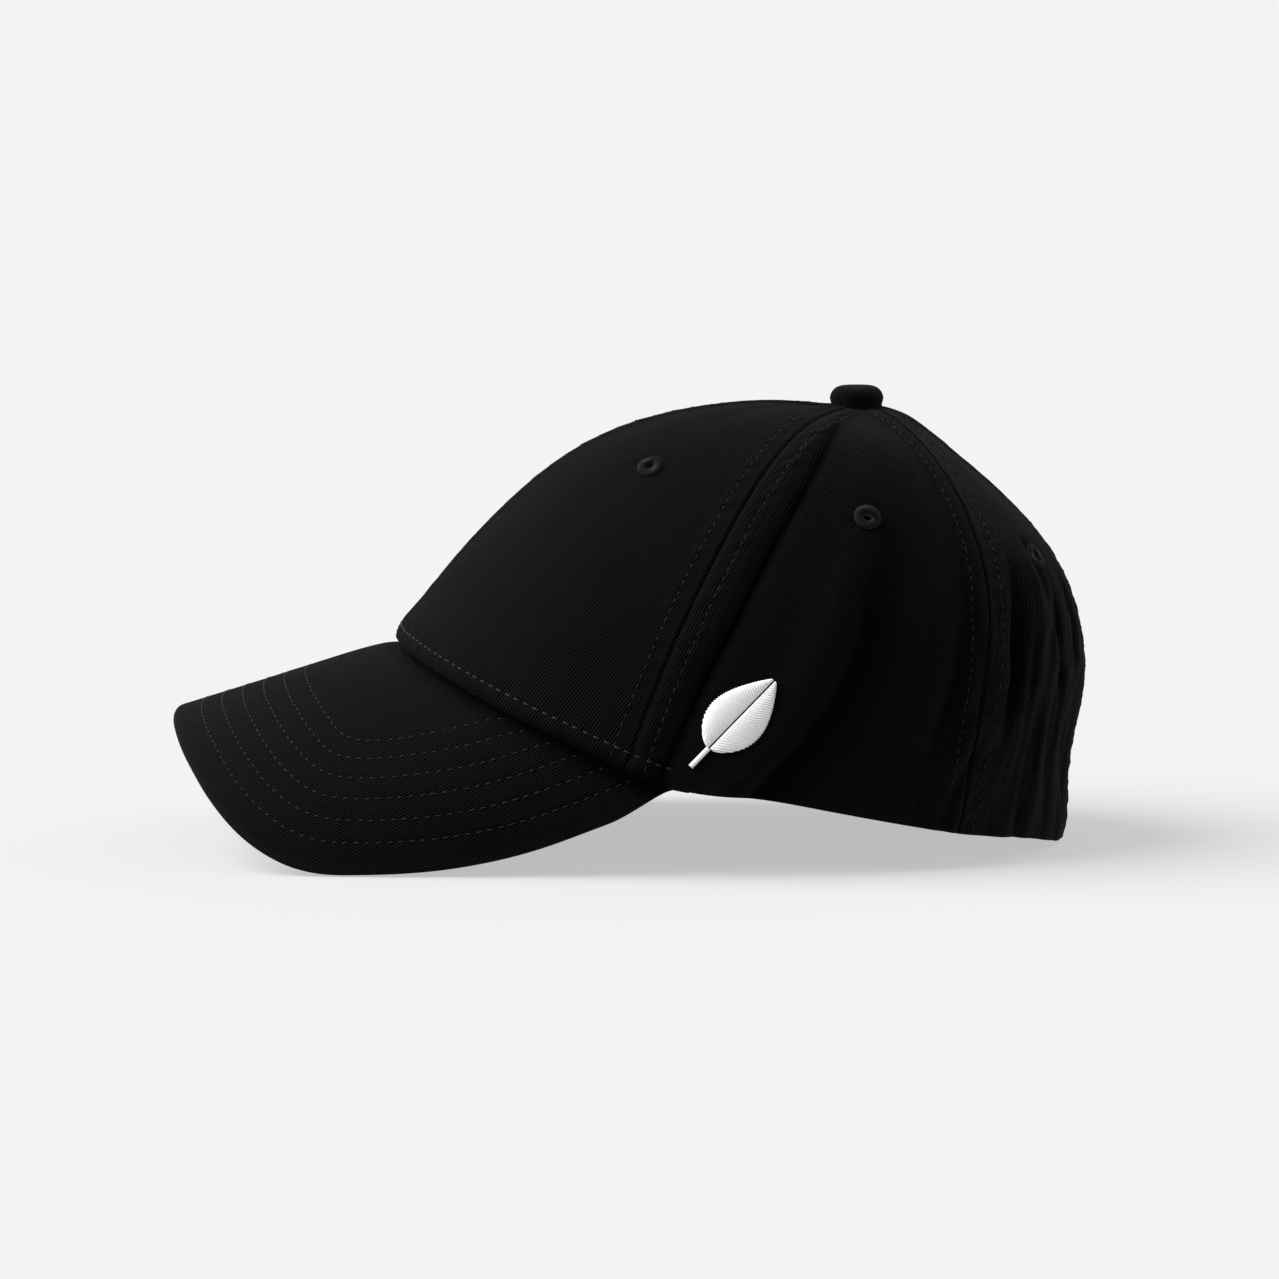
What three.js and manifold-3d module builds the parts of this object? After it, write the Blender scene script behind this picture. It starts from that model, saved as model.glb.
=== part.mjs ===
// A structured six-panel cap with a closed, elastic back and a curved brim.
// Millimetres, +Z up. The brim points to -Y and the wearer's left is +X. The cap stands on
// the back of its hem and on the two sides of its brim, all three at z = 0.
import * as THREE from 'three';
import Module from 'manifold-3d';
import { mergeVertices } from 'three/addons/utils/BufferGeometryUtils.js';

const wasm = await Module();
wasm.setup();

const V = (x, y, z) => new THREE.Vector3(x, y, z);
const rad = THREE.MathUtils.degToRad;

// ---- Driving dimensions ----
const clearance = 0.3; // between neighbouring pieces
const crownTilt = rad(17); // the crown's own axis leans back by this angle
const crownFoot = V(0, 37.1, 28.1); // where that axis crosses the plane of the crown's edge
// Profiles of the crown in its own frame: [radius, height], from the apex to the edge.
const frontProfile = [[0, 105.8], [17.8, 101.6], [54.3, 87], [85.9, 56.7],
  [102.9, 23.2], [108.8, 10], [110.9, 4.5], [110.6, 0]];
const sideProfile = [[0, 105.8], [30, 99], [56, 77], [72, 46], [80, 15], [81.5, 0]];
const backProfile = [[0, 105.8], [9, 108], [25.3, 103.9], [40.3, 97.8], [70.9, 79],
  [88.6, 47.3], [92.4, 20.2], [96.3, 5], [96.7, 0]];
// Height of the crown's edge above the table: [azimuth from the front in degrees, height].
const edgeHeight = [[0, 60.3], [15, 58], [30, 51.9], [45, 43.2], [60, 33.7], [75, 25.1],
  [90, 22.2], [105, 18.4], [120, 13.9], [135, 9.5], [150, 5.4], [161, 1.9], [170, 0],
  [180, 0]];
const frontSeam = 65.5; // azimuth of the seams between front and side panels
const backSeam = 132.5; // azimuth of the seams between side and back panels
const apexHole = 0.02; // share of the crown's arc left open for the button's shank
const clothThickness = 0.8;
const backing = { outer: 1.1, inner: 1.7 }; // depths of the stiff lining behind the front
const tape = { outer: 2.3, inner: 2.8, width: 15 };
const band = { outer: 3.2, inner: 4.4, top: 0.82 };
const eyeletPlaces = { front: [36.5, 0.485], side: [99, 0.441], back: [155, 0.467] };
const eyeletHole = 2.0;
const buttonRadius = 8.1;
const buttonHeight = 5.6;
const brimRoot = V(0, -68.1, 60.3); // front middle of the brim's seam
const brimSlope = rad(17.4); // fall of the brim's middle line towards its tip
const brimSection = { halfWidth: 80, depth: 62.25 }; // the ellipse that the brim is bent to
const brimEnd = 74; // azimuth where the brim runs out under the crown's edge
const brimTuck = 1.2; // how far the brim's seam lies inside the crown's edge
const brimDrop = 0.55; // and how far below it
// Half outline of the flat brim: [across, forward], from the tip to the corner.
const brimOutline = [[0, 71.2], [14, 70.8], [29.2, 69.2], [43.5, 66.9], [54.7, 64.4],
  [64.3, 61.9], [72.8, 59], [81, 55.3], [89, 50.1], [97, 42], [101, 35.2], [104.7, 24.8],
  [107.8, 13.9], [110.3, 2.9], [112.2, -10], [113, -26.6], [112.2, -42.2], [111, -57.7],
  [109.4, -67.9]];
const brimLayers = { cover: 0.5, boardTop: 0.8, boardBottom: 2.6, under: 2.9, bottom: 3.4 };

// Azimuth and arc lines that every layer of the crown shares, so that the layers nest.
const spread = (from, to, count) =>
  Array.from({ length: count + 1 }, (_, i) => from + (to - from) * i / count);
const frontLines = spread(0, frontSeam, 7);
const sideLines = spread(frontSeam, backSeam, 7);
const backLines = spread(backSeam, 180, 5);
const arcLines = [apexHole, 0.06, 0.12, 0.2, 0.28, 0.36, 0.44, 0.52, 0.6, 0.68, 0.76,
  0.82, 0.88, 0.94, 0.97, 0.985, 1];

// ---- Curves ----
// A natural cubic through (x, y) points, as a function of x.
function cubic(points) {
  const n = points.length;
  const x = points.map((p) => p[0]);
  const y = points.map((p) => p[1]);
  const bend = new Array(n).fill(0);
  const work = new Array(n).fill(0);
  for (let i = 1; i < n - 1; i++) {
    const share = (x[i] - x[i - 1]) / (x[i + 1] - x[i - 1]);
    const pivot = share * bend[i - 1] + 2;
    const jump = (y[i + 1] - y[i]) / (x[i + 1] - x[i]) - (y[i] - y[i - 1]) / (x[i] - x[i - 1]);
    bend[i] = (share - 1) / pivot;
    work[i] = (6 * jump / (x[i + 1] - x[i - 1]) - share * work[i - 1]) / pivot;
  }
  for (let i = n - 2; i >= 0; i--) {
    bend[i] = bend[i] * bend[i + 1] + work[i];
  }
  return (t) => {
    let i = 0;
    while (i < n - 2 && t > x[i + 1]) i++;
    const h = x[i + 1] - x[i];
    const a = (x[i + 1] - t) / h;
    const b = (t - x[i]) / h;
    const curve = (a ** 3 - a) * bend[i] + (b ** 3 - b) * bend[i + 1];
    return a * y[i] + b * y[i + 1] + curve * h * h / 6;
  };
}

// A smooth plane curve through points, as a function of the share of its length.
function smoothCurve(points) {
  const reach = [0];
  for (let i = 1; i < points.length; i++) {
    const step = Math.hypot(points[i][0] - points[i - 1][0], points[i][1] - points[i - 1][1]);
    reach.push(reach[i - 1] + step);
  }
  const first = cubic(points.map((p, i) => [reach[i], p[0]]));
  const second = cubic(points.map((p, i) => [reach[i], p[1]]));
  const steps = 400;
  const table = spread(0, reach[reach.length - 1], steps).map((t) => [first(t), second(t)]);
  const length = [0];
  for (let i = 1; i <= steps; i++) {
    const step = Math.hypot(table[i][0] - table[i - 1][0], table[i][1] - table[i - 1][1]);
    length.push(length[i - 1] + step);
  }
  return (share) => {
    const want = THREE.MathUtils.clamp(share, 0, 1) * length[steps];
    let i = 0;
    while (i < steps - 1 && length[i + 1] < want) i++;
    const k = (want - length[i]) / (length[i + 1] - length[i]);
    return [0, 1].map((c) => table[i][c] + k * (table[i + 1][c] - table[i][c]));
  };
}

// ---- The crown's outer surface ----
const front = smoothCurve(frontProfile);
const side = smoothCurve(sideProfile);
const back = smoothCurve(backProfile);
const edge = cubic(edgeHeight);

// The three profiles blend round the crown by the cosine of the azimuth.
function plainCrown(azimuth, arc) {
  const c = Math.cos(rad(azimuth));
  const blend = [0, 1].map((k) => {
    const f = front(arc)[k];
    const s = side(arc)[k];
    const b = back(arc)[k];
    return s + ((f + b) / 2 - s) * c * c + (f - b) / 2 * c;
  });
  const across = blend[0] * Math.sin(rad(azimuth));
  const rearward = -blend[0] * c;
  return V(
    across,
    crownFoot.y + rearward * Math.cos(crownTilt) + blend[1] * Math.sin(crownTilt),
    crownFoot.z - rearward * Math.sin(crownTilt) + blend[1] * Math.cos(crownTilt),
  );
}

// The lowest part of the wall is lengthened or shortened to meet the edge's height.
function crownPoint(azimuth, arc) {
  const turn = Math.abs(((azimuth + 540) % 360) - 180);
  const height = turn > 170 ? 0 : Math.max(edge(turn), 0); // level where it stands
  const lift = (height - plainCrown(azimuth, 1).z) / Math.cos(crownTilt);
  const wallUp = V(0, Math.sin(crownTilt), Math.cos(crownTilt));
  return plainCrown(azimuth, arc).addScaledVector(wallUp, lift * arc ** 4);
}

// Tangents and outward normal at a place on the crown.
function crownFrame(azimuth, arc) {
  const point = crownPoint(azimuth, arc);
  const round = crownPoint(azimuth + 0.05, arc).sub(crownPoint(azimuth - 0.05, arc));
  round.divideScalar(0.1);
  const down = crownPoint(azimuth, Math.min(arc + 0.0005, 1))
    .sub(crownPoint(azimuth, Math.min(arc + 0.0005, 1) - 0.001)).divideScalar(0.001);
  const normal = down.clone().cross(round).normalize();
  return { point, round, down, normal };
}

const crownDepth = (azimuth, arc, depth) => {
  const { point, normal } = crownFrame(azimuth, arc);
  return point.addScaledVector(normal, -depth);
};

// ---- Making closed bodies ----
// Turns a triangle list the right way out and wraps it as a geometry.
function closedGeometry(points, triangles) {
  let volume = 0;
  for (const [a, b, c] of triangles) {
    volume += points[a].dot(points[b].clone().cross(points[c]));
  }
  const order = volume > 0 ? triangles : triangles.map(([a, b, c]) => [a, c, b]);
  const geometry = new THREE.BufferGeometry().setFromPoints(points);
  geometry.setIndex(order.flat());
  geometry.computeVertexNormals();
  return geometry;
}

// A four-sided facet is divided along its shorter diagonal, so that nested layers agree.
function addFacet(points, triangles, a, b, c, d) {
  if (points[a].distanceTo(points[c]) < points[b].distanceTo(points[d])) {
    triangles.push([a, b, c], [a, c, d]);
  } else {
    triangles.push([a, b, d], [b, c, d]);
  }
}

// A sheet with thickness: two grids of points with walls round their rims.
// A ring sheet closes on itself along its second index.
function slab(outer, inner, ring = false) {
  const rows = outer.length;
  const cols = outer[0].length;
  const points = [...outer.flat(), ...inner.flat()];
  const triangles = [];
  const at = (layer, i, j) => layer * rows * cols + i * cols + (j % cols);
  const quad = (...corners) => addFacet(points, triangles, ...corners);
  const lastCol = ring ? cols : cols - 1;
  for (let i = 0; i < rows - 1; i++) {
    for (let j = 0; j < lastCol; j++) {
      quad(at(0, i, j), at(0, i + 1, j), at(0, i + 1, j + 1), at(0, i, j + 1));
      quad(at(1, i, j), at(1, i, j + 1), at(1, i + 1, j + 1), at(1, i + 1, j));
    }
  }
  for (let j = 0; j < lastCol; j++) {
    quad(at(0, 0, j), at(0, 0, j + 1), at(1, 0, j + 1), at(1, 0, j));
    quad(at(0, rows - 1, j), at(1, rows - 1, j), at(1, rows - 1, j + 1), at(0, rows - 1, j + 1));
  }
  if (!ring) {
    for (let i = 0; i < rows - 1; i++) {
      quad(at(0, i, 0), at(1, i, 0), at(1, i + 1, 0), at(0, i + 1, 0));
      quad(at(0, i, cols - 1), at(0, i + 1, cols - 1), at(1, i + 1, cols - 1), at(1, i, cols - 1));
    }
  }
  return closedGeometry(points, triangles);
}

// A body swept through stations that all have the same closed outline of points.
// The flat [x, y] outline given for each end is used to divide the end faces.
function sweep(stations, endOutline) {
  const ring = stations[0].length;
  const points = stations.flat();
  const triangles = [];
  for (let i = 0; i < stations.length - 1; i++) {
    for (let j = 0; j < ring; j++) {
      const k = (j + 1) % ring;
      const a = i * ring + j;
      const b = i * ring + k;
      addFacet(points, triangles, a, b, b + ring, a + ring);
    }
  }
  const flat = endOutline.map(([x, y]) => new THREE.Vector2(x, y));
  const clockwise = THREE.ShapeUtils.isClockWise(flat);
  for (const face of THREE.ShapeUtils.triangulateShape(flat, [])) {
    const [a, b, c] = clockwise ? face : [face[0], face[2], face[1]];
    const end = (stations.length - 1) * ring;
    triangles.push(clockwise ? [a, b, c] : [a, b, c], [end + a, end + c, end + b]);
  }
  return closedGeometry(points, triangles);
}

function lathe(profile, segments) {
  const turned = new THREE.LatheGeometry(profile.map(([r, h]) => new THREE.Vector2(r, h)), segments);
  const bare = turned.deleteAttribute('uv').deleteAttribute('normal');
  const merged = mergeVertices(bare, 1e-4);
  const at = merged.getAttribute('position');
  const points = Array.from({ length: at.count }, (_, i) => V().fromBufferAttribute(at, i));
  const triangles = [];
  for (let i = 0; i < merged.index.count; i += 3) {
    const face = [0, 1, 2].map((k) => merged.index.getX(i + k));
    if (new Set(face).size === 3) triangles.push(face);
  }
  return closedGeometry(points, triangles);
}

// ---- Cutting holes ----
function toSolid(geometry, matrix = new THREE.Matrix4()) {
  const bare = geometry.clone().applyMatrix4(matrix);
  for (const name of ['normal', 'uv']) bare.deleteAttribute(name);
  const merged = mergeVertices(bare, 1e-4);
  return new wasm.Manifold(new wasm.Mesh({
    numProp: 3,
    vertProperties: new Float32Array(merged.getAttribute('position').array),
    triVerts: new Uint32Array(merged.index.array),
  }));
}

function fromSolid(solid) {
  const { vertProperties, triVerts } = solid.getMesh();
  const geometry = new THREE.BufferGeometry();
  geometry.setAttribute('position', new THREE.BufferAttribute(vertProperties, 3));
  geometry.setIndex(new THREE.BufferAttribute(triVerts, 1));
  geometry.computeVertexNormals();
  return geometry;
}

// Turns the +Y axis of a turned piece to the crown's normal at a place.
function standOn(azimuth, arc) {
  const { point, normal } = crownFrame(azimuth, arc);
  const turn = new THREE.Quaternion().setFromUnitVectors(V(0, 1, 0), normal);
  return { point, turn };
}

function withHole(geometry, azimuth, arc, radius) {
  const { point, turn } = standOn(azimuth, arc);
  const drill = new THREE.CylinderGeometry(radius, radius, 8, 16);
  const place = new THREE.Matrix4().compose(point, turn, V(1, 1, 1));
  return fromSolid(toSolid(geometry).subtract(toSolid(drill, place)));
}

// ---- Materials ----
const material = (color, roughness, metalness = 0) =>
  new THREE.MeshStandardMaterial({ color, roughness, metalness });
const twill = material(0x19181a, 0.92);
const lining = material(0x2a2a2c, 0.9);
const bandCloth = material(0x1d1d1f, 0.88);
const tapeCloth = material(0x222224, 0.8);
const thread = material(0x2b2b30, 0.6);
const whiteThread = material(0xeeeeec, 0.55);
const labelCloth = material(0xdcdcd8, 0.75);
const boardPlastic = material(0xd8d8d4, 0.5);
const shellMetal = material(0xa8a9ab, 0.4, 0.9);

const cap = new THREE.Group();
function add(name, geometry, surface) {
  const mesh = new THREE.Mesh(geometry, surface);
  mesh.name = name;
  cap.add(mesh);
  return mesh;
}
const sides = [['left', 1], ['right', -1]];

// ---- Crown layers ----
// One layer between two depths. Its first and last azimuth lines draw back from a seam.
function crownLayer(azimuths, arcs, outerDepth, innerDepth, seamGap) {
  const last = azimuths.length - 1;
  const grid = (depth) => arcs.map((arc) => azimuths.map((azimuth, j) => {
    const mmPerDegree = crownFrame(azimuth, arc).round.length();
    const inward = Math.sign(azimuths[last] - azimuths[0]) * seamGap / mmPerDegree;
    const shift = (j === 0 ? inward : 0) - (j === last ? inward : 0);
    const point = crownDepth(azimuth + shift, arc, depth);
    if (arc === 1) point.z = crownPoint(azimuth + shift, 1).z;
    return point;
  }));
  return slab(grid(outerDepth), grid(innerDepth));
}

const mirrored = (lines, sign) => lines.map((a) => a * sign);

function panel(place, lines) {
  for (const [word, sign] of sides) {
    const [azimuth, arc] = eyeletPlaces[place];
    const cloth = crownLayer(mirrored(lines, sign), arcLines, 0, clothThickness, clearance / 2);
    add(`${place}_panel_${word}`, withHole(cloth, azimuth * sign, arc, eyeletHole), twill);
  }
}
panel('front', frontLines);
panel('side', sideLines);
panel('back', backLines);

// The stiff lining stops short of the side seam, the apex and the edge.
for (const [word, sign] of sides) {
  const lines = mirrored(frontLines.slice(0, 7), sign);
  const arcs = arcLines.slice(2, 16);
  const stiff = crownLayer(lines, arcs, backing.outer, backing.inner, clearance / 2);
  const [azimuth, arc] = eyeletPlaces.front;
  add(`front_buckram_${word}`, withHole(stiff, azimuth * sign, arc, eyeletHole + 0.4), lining);
}

// Tapes that cover the pressed-open seam allowances inside.
function seamTape(name, azimuth) {
  const arcs = arcLines.slice(2, 13);
  const grid = (depth) => arcs.map((arc) => {
    const half = tape.width / 2 / crownFrame(azimuth, arc).round.length();
    const top = Math.min(arc, 0.8);
    const reach = half * (0.75 + 0.25 * top / 0.8);
    return [-reach, 0, reach].map((shift) => crownDepth(azimuth + shift, arc, depth));
  });
  add(name, slab(grid(tape.outer), grid(tape.inner)), tapeCloth);
}
seamTape('front_seam_tape', 0);
seamTape('back_seam_tape', 180);
for (const [word, sign] of sides) {
  seamTape(`front_side_seam_tape_${word}`, frontSeam * sign);
  seamTape(`back_side_seam_tape_${word}`, backSeam * sign);
}

// The tape that covers the brim's seam allowance, low behind the front panels.
{
  const lines = [...mirrored(frontLines, -1).reverse(), ...frontLines.slice(1)];
  const arcs = [0.94, 0.97, 0.984];
  add('brim_seam_tape', crownLayer(lines, arcs, tape.outer, tape.inner, -6), tapeCloth);
}

// ---- Sweatband ----
const roundLines = [...frontLines, ...sideLines.slice(1), ...backLines.slice(1),
  ...mirrored([...frontLines.slice(1), ...sideLines.slice(1), ...backLines.slice(1, -1)], -1)
    .sort((a, b) => a - b)];

function bandRing(name, arcs, outerDepth, innerDepth, surface) {
  const grid = (depth) => arcs.map((arc) => roundLines.map((a) => crownDepth(a, arc, depth)));
  add(name, slab(grid(outerDepth), grid(innerDepth), true), surface);
}
bandRing('sweatband', [band.top, 0.88, 0.94, 0.97, 0.985, 0.994], band.outer, band.inner, bandCloth);
bandRing('sweatband_edging', [band.top - 0.02, band.top - 0.0025], band.outer - 0.2,
  band.inner + 0.2, tapeCloth);

// Plain woven labels inside the back of the sweatband.
function label(name, from, to, top, bottom) {
  const lines = spread(from, to, 4);
  const arcs = spread(top, bottom, 3);
  add(name, crownLayer(lines, arcs, band.inner + 0.45, band.inner + 0.9, 0), labelCloth);
}
label('size_label', 172, 188, 0.835, 0.93);
label('care_label', 146, 163, 0.85, 0.975);

// ---- Button ----
// The lowest height that clears the crown all round a radius.
const apex = crownPoint(0, 0);
const rimHeight = Math.max(...spread(0, 360, 24).map((a) => {
  const arcAtRim = (buttonRadius - 0.6) / 164;
  return crownPoint(a, arcAtRim).z;
})) + clearance;
const buttonBase = V(0, apex.y, rimHeight);

function domeProfile(radius, height, steps) {
  return spread(0, 90, steps).map((a) => [
    radius * Math.cos(rad(a)) ** 0.8, height * Math.sin(rad(a)) ** 0.9]);
}

// Cloth cover, drawn over the metal shell and turned under its rim.
{
  const dome = domeProfile(buttonRadius, buttonHeight, 6);
  const inside = domeProfile(buttonRadius - 0.6, buttonHeight - 0.6, 6).reverse();
  dome[dome.length - 1] = [0, buttonHeight];
  inside[0] = [0, buttonHeight - 0.6];
  const mesh = add('button_cover', lathe([...dome, ...inside, [buttonRadius, 0]]
    .reverse(), 24), twill);
  mesh.rotation.x = Math.PI / 2;
  mesh.position.copy(buttonBase);
}
// Metal shell with the shank that goes down through the apex.
{
  const dome = domeProfile(buttonRadius - 0.9, buttonHeight - 0.9, 6);
  dome[dome.length - 1] = [0, buttonHeight - 0.9];
  const shank = apex.z - rimHeight - 4;
  const mesh = add('button_shell', lathe([[0, shank], [1.1, shank], [1.1, 0.6], [6.2, 0.6],
    [buttonRadius - 0.9, 0], ...dome.slice(1)], 24), shellMetal);
  mesh.rotation.x = Math.PI / 2;
  mesh.position.copy(buttonBase);
}
// Pronged washer that closes the shank from inside.
{
  const drop = 3.2;
  const mesh = add('button_washer', lathe([[1.4, 0], [6.5, -0.5], [7, -0.9], [6.5, -1.1],
    [1.4, -0.7], [1.4, 0]], 24), shellMetal);
  mesh.rotation.x = Math.PI / 2;
  mesh.position.set(0, apex.y, apex.z - drop + 1.3);
}

// ---- Eyelets ----
// A collar of thread through the hole, with a flange on the outside.
for (const [place, [azimuth, arc]] of Object.entries(eyeletPlaces)) {
  for (const [word, sign] of sides) {
    const { point, turn } = standOn(azimuth * sign, arc);
    const ring = lathe([[1.1, -1.1], [1.7, -1.1], [1.7, 0.3], [4, 0.3], [3.9, 0.7],
      [3, 1.05], [1.8, 0.95], [1.1, 0.4], [1.1, -1.1]], 16);
    const mesh = add(`${place}_eyelet_${word}`, ring, thread);
    mesh.position.copy(point);
    mesh.quaternion.copy(turn);
  }
}

// ---- Leaf motif on the left side panel ----
// Offsets in millimetres, rearward and up, become a place on the crown.
const leafPlace = [82.7, 0.861];
const leafLength = 25;
const leafLean = rad(28);
function onLeaf(rearward, up, height) {
  const { round, down } = crownFrame(...leafPlace);
  const azimuth = leafPlace[0] + rearward / round.length();
  const arc = leafPlace[1] - up / down.length();
  return crownDepth(azimuth, arc, -height);
}
// Along the midrib, and sideways from it.
function alongLeaf(share, sideways, height) {
  const along = (share - 0.5) * leafLength;
  const rearward = along * Math.sin(leafLean) + sideways * Math.cos(leafLean);
  const up = along * Math.cos(leafLean) - sideways * Math.sin(leafLean);
  return onLeaf(rearward, up, height);
}
const bladeWidth = (share) => 0.4 + 7.4 * Math.sin(Math.PI * share ** 0.75) ** 0.9;
function blade(name, sign) {
  const shares = spread(0.005, 0.995, 10);
  const grid = (raised) => shares.map((share) => spread(0, 1, 3).map((across) => {
    const sideways = sign * (0.45 + bladeWidth(share) * across);
    const puff = raised ? 0.75 + 0.25 * Math.sin(Math.PI * across) : 0;
    return alongLeaf(share, sideways, clearance + puff);
  }));
  add(name, slab(grid(true), grid(false)), whiteThread);
}
blade('leaf_blade_front', -1);
blade('leaf_blade_back', 1);
{
  const grid = (height) => [-0.26, -0.13, -0.02].map((share) =>
    [-0.6, 0.6].map((sideways) => alongLeaf(share, sideways, height)));
  add('leaf_stem', slab(grid(clearance + 0.7), grid(clearance)), whiteThread);
}

// ---- Brim ----
// The brim is bent to half an ellipse and runs straight along its slope.
const forward = V(0, -Math.cos(brimSlope), -Math.sin(brimSlope));
const upward = V(0, -Math.sin(brimSlope), Math.cos(brimSlope));
const ellipseTable = [[0, 0]];
for (let i = 1; i <= 400; i++) {
  const turn = rad(110) * i / 400;
  const middle = rad(110) * (i - 0.5) / 400;
  const speed = Math.hypot(brimSection.halfWidth * Math.cos(middle),
    brimSection.depth * Math.sin(middle));
  ellipseTable.push([turn, ellipseTable[i - 1][1] + speed * rad(110) / 400]);
}
function ellipseTurn(across) {
  const want = Math.abs(across);
  let i = 0;
  while (i < 399 && ellipseTable[i + 1][1] < want) i++;
  const [from, to] = [ellipseTable[i], ellipseTable[i + 1]];
  return from[0] + (want - from[1]) / (to[1] - from[1]) * (to[0] - from[0]);
}
function bentBrim(across, ahead) {
  const turn = ellipseTurn(across);
  return brimRoot.clone()
    .addScaledVector(forward, ahead)
    .addScaledVector(upward, -brimSection.depth * (1 - Math.cos(turn)))
    .add(V(Math.sign(across) * brimSection.halfWidth * Math.sin(turn), 0, 0));
}
const outline = smoothCurve([
  ...brimOutline.slice(1).reverse().map(([across, ahead]) => [-across, ahead]),
  ...brimOutline,
]);

// The seam lies just inside and below the crown's edge.
const hemRise = Math.atan2(edge(0) - edge(brimEnd),
  crownPoint(brimEnd, 1).y - crownPoint(0, 1).y);
const seamUp = V(0, Math.sin(hemRise), Math.cos(hemRise));
function seamPoint(azimuth) {
  const { point, normal } = crownFrame(azimuth, 1);
  return point.addScaledVector(V(normal.x, normal.y, 0).normalize(), -brimTuck)
    .addScaledVector(seamUp, -brimDrop);
}
// For a station from -1 to 1: the seam in the flat brim, the outline, and the seam's
// distance from the plain bent sheet.
const stationCache = new Map();
function station(w) {
  if (stationCache.has(w)) return stationCache.get(w);
  const seam = seamPoint(w * brimEnd);
  const rel = seam.clone().sub(brimRoot);
  const ahead = rel.dot(forward);
  let across = seam.x;
  for (let step = 32; step > 1e-3; step /= 2) {
    for (const way of [-step, step]) {
      const near = bentBrim(across, ahead).distanceTo(seam);
      if (bentBrim(across + way, ahead).distanceTo(seam) < near) across += way;
    }
  }
  const found = {
    seam: [across, ahead],
    rim: outline(0.5 + w / 2),
    lift: seam.clone().sub(bentBrim(across, ahead)),
  };
  stationCache.set(w, found);
  return found;
}
// A place on the brim's top surface, at a distance in millimetres from the seam or the rim.
function brimTop(w, share) {
  const { seam, rim, lift } = station(w);
  const across = seam[0] + (rim[0] - seam[0]) * share;
  const ahead = seam[1] + (rim[1] - seam[1]) * share;
  const far = share * Math.hypot(rim[0] - seam[0], rim[1] - seam[1]);
  return bentBrim(across, ahead).addScaledVector(lift, Math.exp(-((far / 9) ** 2)));
}
function brimAt(w, share, depth) {
  const inner = Math.max(-0.999, Math.min(0.999, w));
  const alongRuling = brimTop(inner, share + 0.01).sub(brimTop(inner, share - 0.01));
  const alongSeam = brimTop(inner + 0.001, share).sub(brimTop(inner - 0.001, share));
  const normal = alongRuling.cross(alongSeam).normalize();
  return brimTop(w, share).addScaledVector(normal, -depth);
}
const brimLength = (w) => {
  const { seam, rim } = station(w);
  return Math.hypot(rim[0] - seam[0], rim[1] - seam[1]);
};
// Sweeps a section across the brim. Each corner is [from seam or rim, distance, depth].
const brimStations = [...mirrored(frontLines, -1).reverse(), ...frontLines.slice(1)]
  .map((a) => a / brimEnd);
brimStations.unshift(-0.975, -0.94);
brimStations.push(0.94, 0.975);
function brimSweep(corners) {
  const fine = brimStations.flatMap((w, i) => (i ? [(brimStations[i - 1] + w) / 2, w] : [w]));
  const stations = fine.map((w) => corners.map(([from, distance, depth]) => {
    const share = distance / brimLength(w);
    if (from === 'seam') return brimAt(w, share, depth);
    if (from === 'rim') return brimAt(w, 1 - share, depth);
    return brimAt(w, distance, depth);
  }));
  const end = corners.map(([from, distance, depth]) => {
    if (from === 'seam') return [distance, depth];
    if (from === 'rim') return [100 - distance, depth];
    return [100 * distance, depth];
  });
  return sweep(stations, end);
}
const acrossShares = [0.2, 0.4, 0.6, 0.8];
const shareLine = (depth) => acrossShares.map((share) => ['share', share, depth]);
const half = (brimLayers.boardTop + brimLayers.boardBottom) / 2;

// Top cover, wrapped down over the edge to the middle of the board.
add('brim_top_cover', brimSweep([
  ['seam', 0, 0], ...shareLine(0), ['rim', 0.5, 0], ['rim', 0, 0.6], ['rim', 0, half - 0.15],
  ['rim', 0.5, half - 0.15], ['rim', 0.5, 0.6], ['rim', 0.7, brimLayers.cover],
  ...shareLine(brimLayers.cover).reverse(), ['seam', 0, brimLayers.cover],
]), twill);
// Under cover, wrapped up to meet it.
add('brim_under_cover', brimSweep([
  ['seam', 0.4, brimLayers.under], ...shareLine(brimLayers.under),
  ['rim', 0.7, brimLayers.under], ['rim', 0.5, 2.8], ['rim', 0.5, half + 0.15],
  ['rim', 0, half + 0.15], ['rim', 0, 2.8], ['rim', 0.5, brimLayers.bottom],
  ...shareLine(brimLayers.bottom).reverse(), ['seam', 0.4, brimLayers.bottom],
]), twill);
// Stiff board between the covers.
add('brim_board', brimSweep([
  ['seam', 0.3, brimLayers.boardTop], ...shareLine(brimLayers.boardTop),
  ['rim', 1.1, brimLayers.boardTop], ['rim', 0.8, half], ['rim', 1.1, brimLayers.boardBottom],
  ...shareLine(brimLayers.boardBottom).reverse(), ['seam', 0.3, brimLayers.boardBottom],
]), boardPlastic);

export default cap;
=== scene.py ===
"""A six-panel cap with a closed back and a curved brim, on a pale floor.

Shapes are worked out in millimetres, and piece() turns them into metres.
"""

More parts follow.
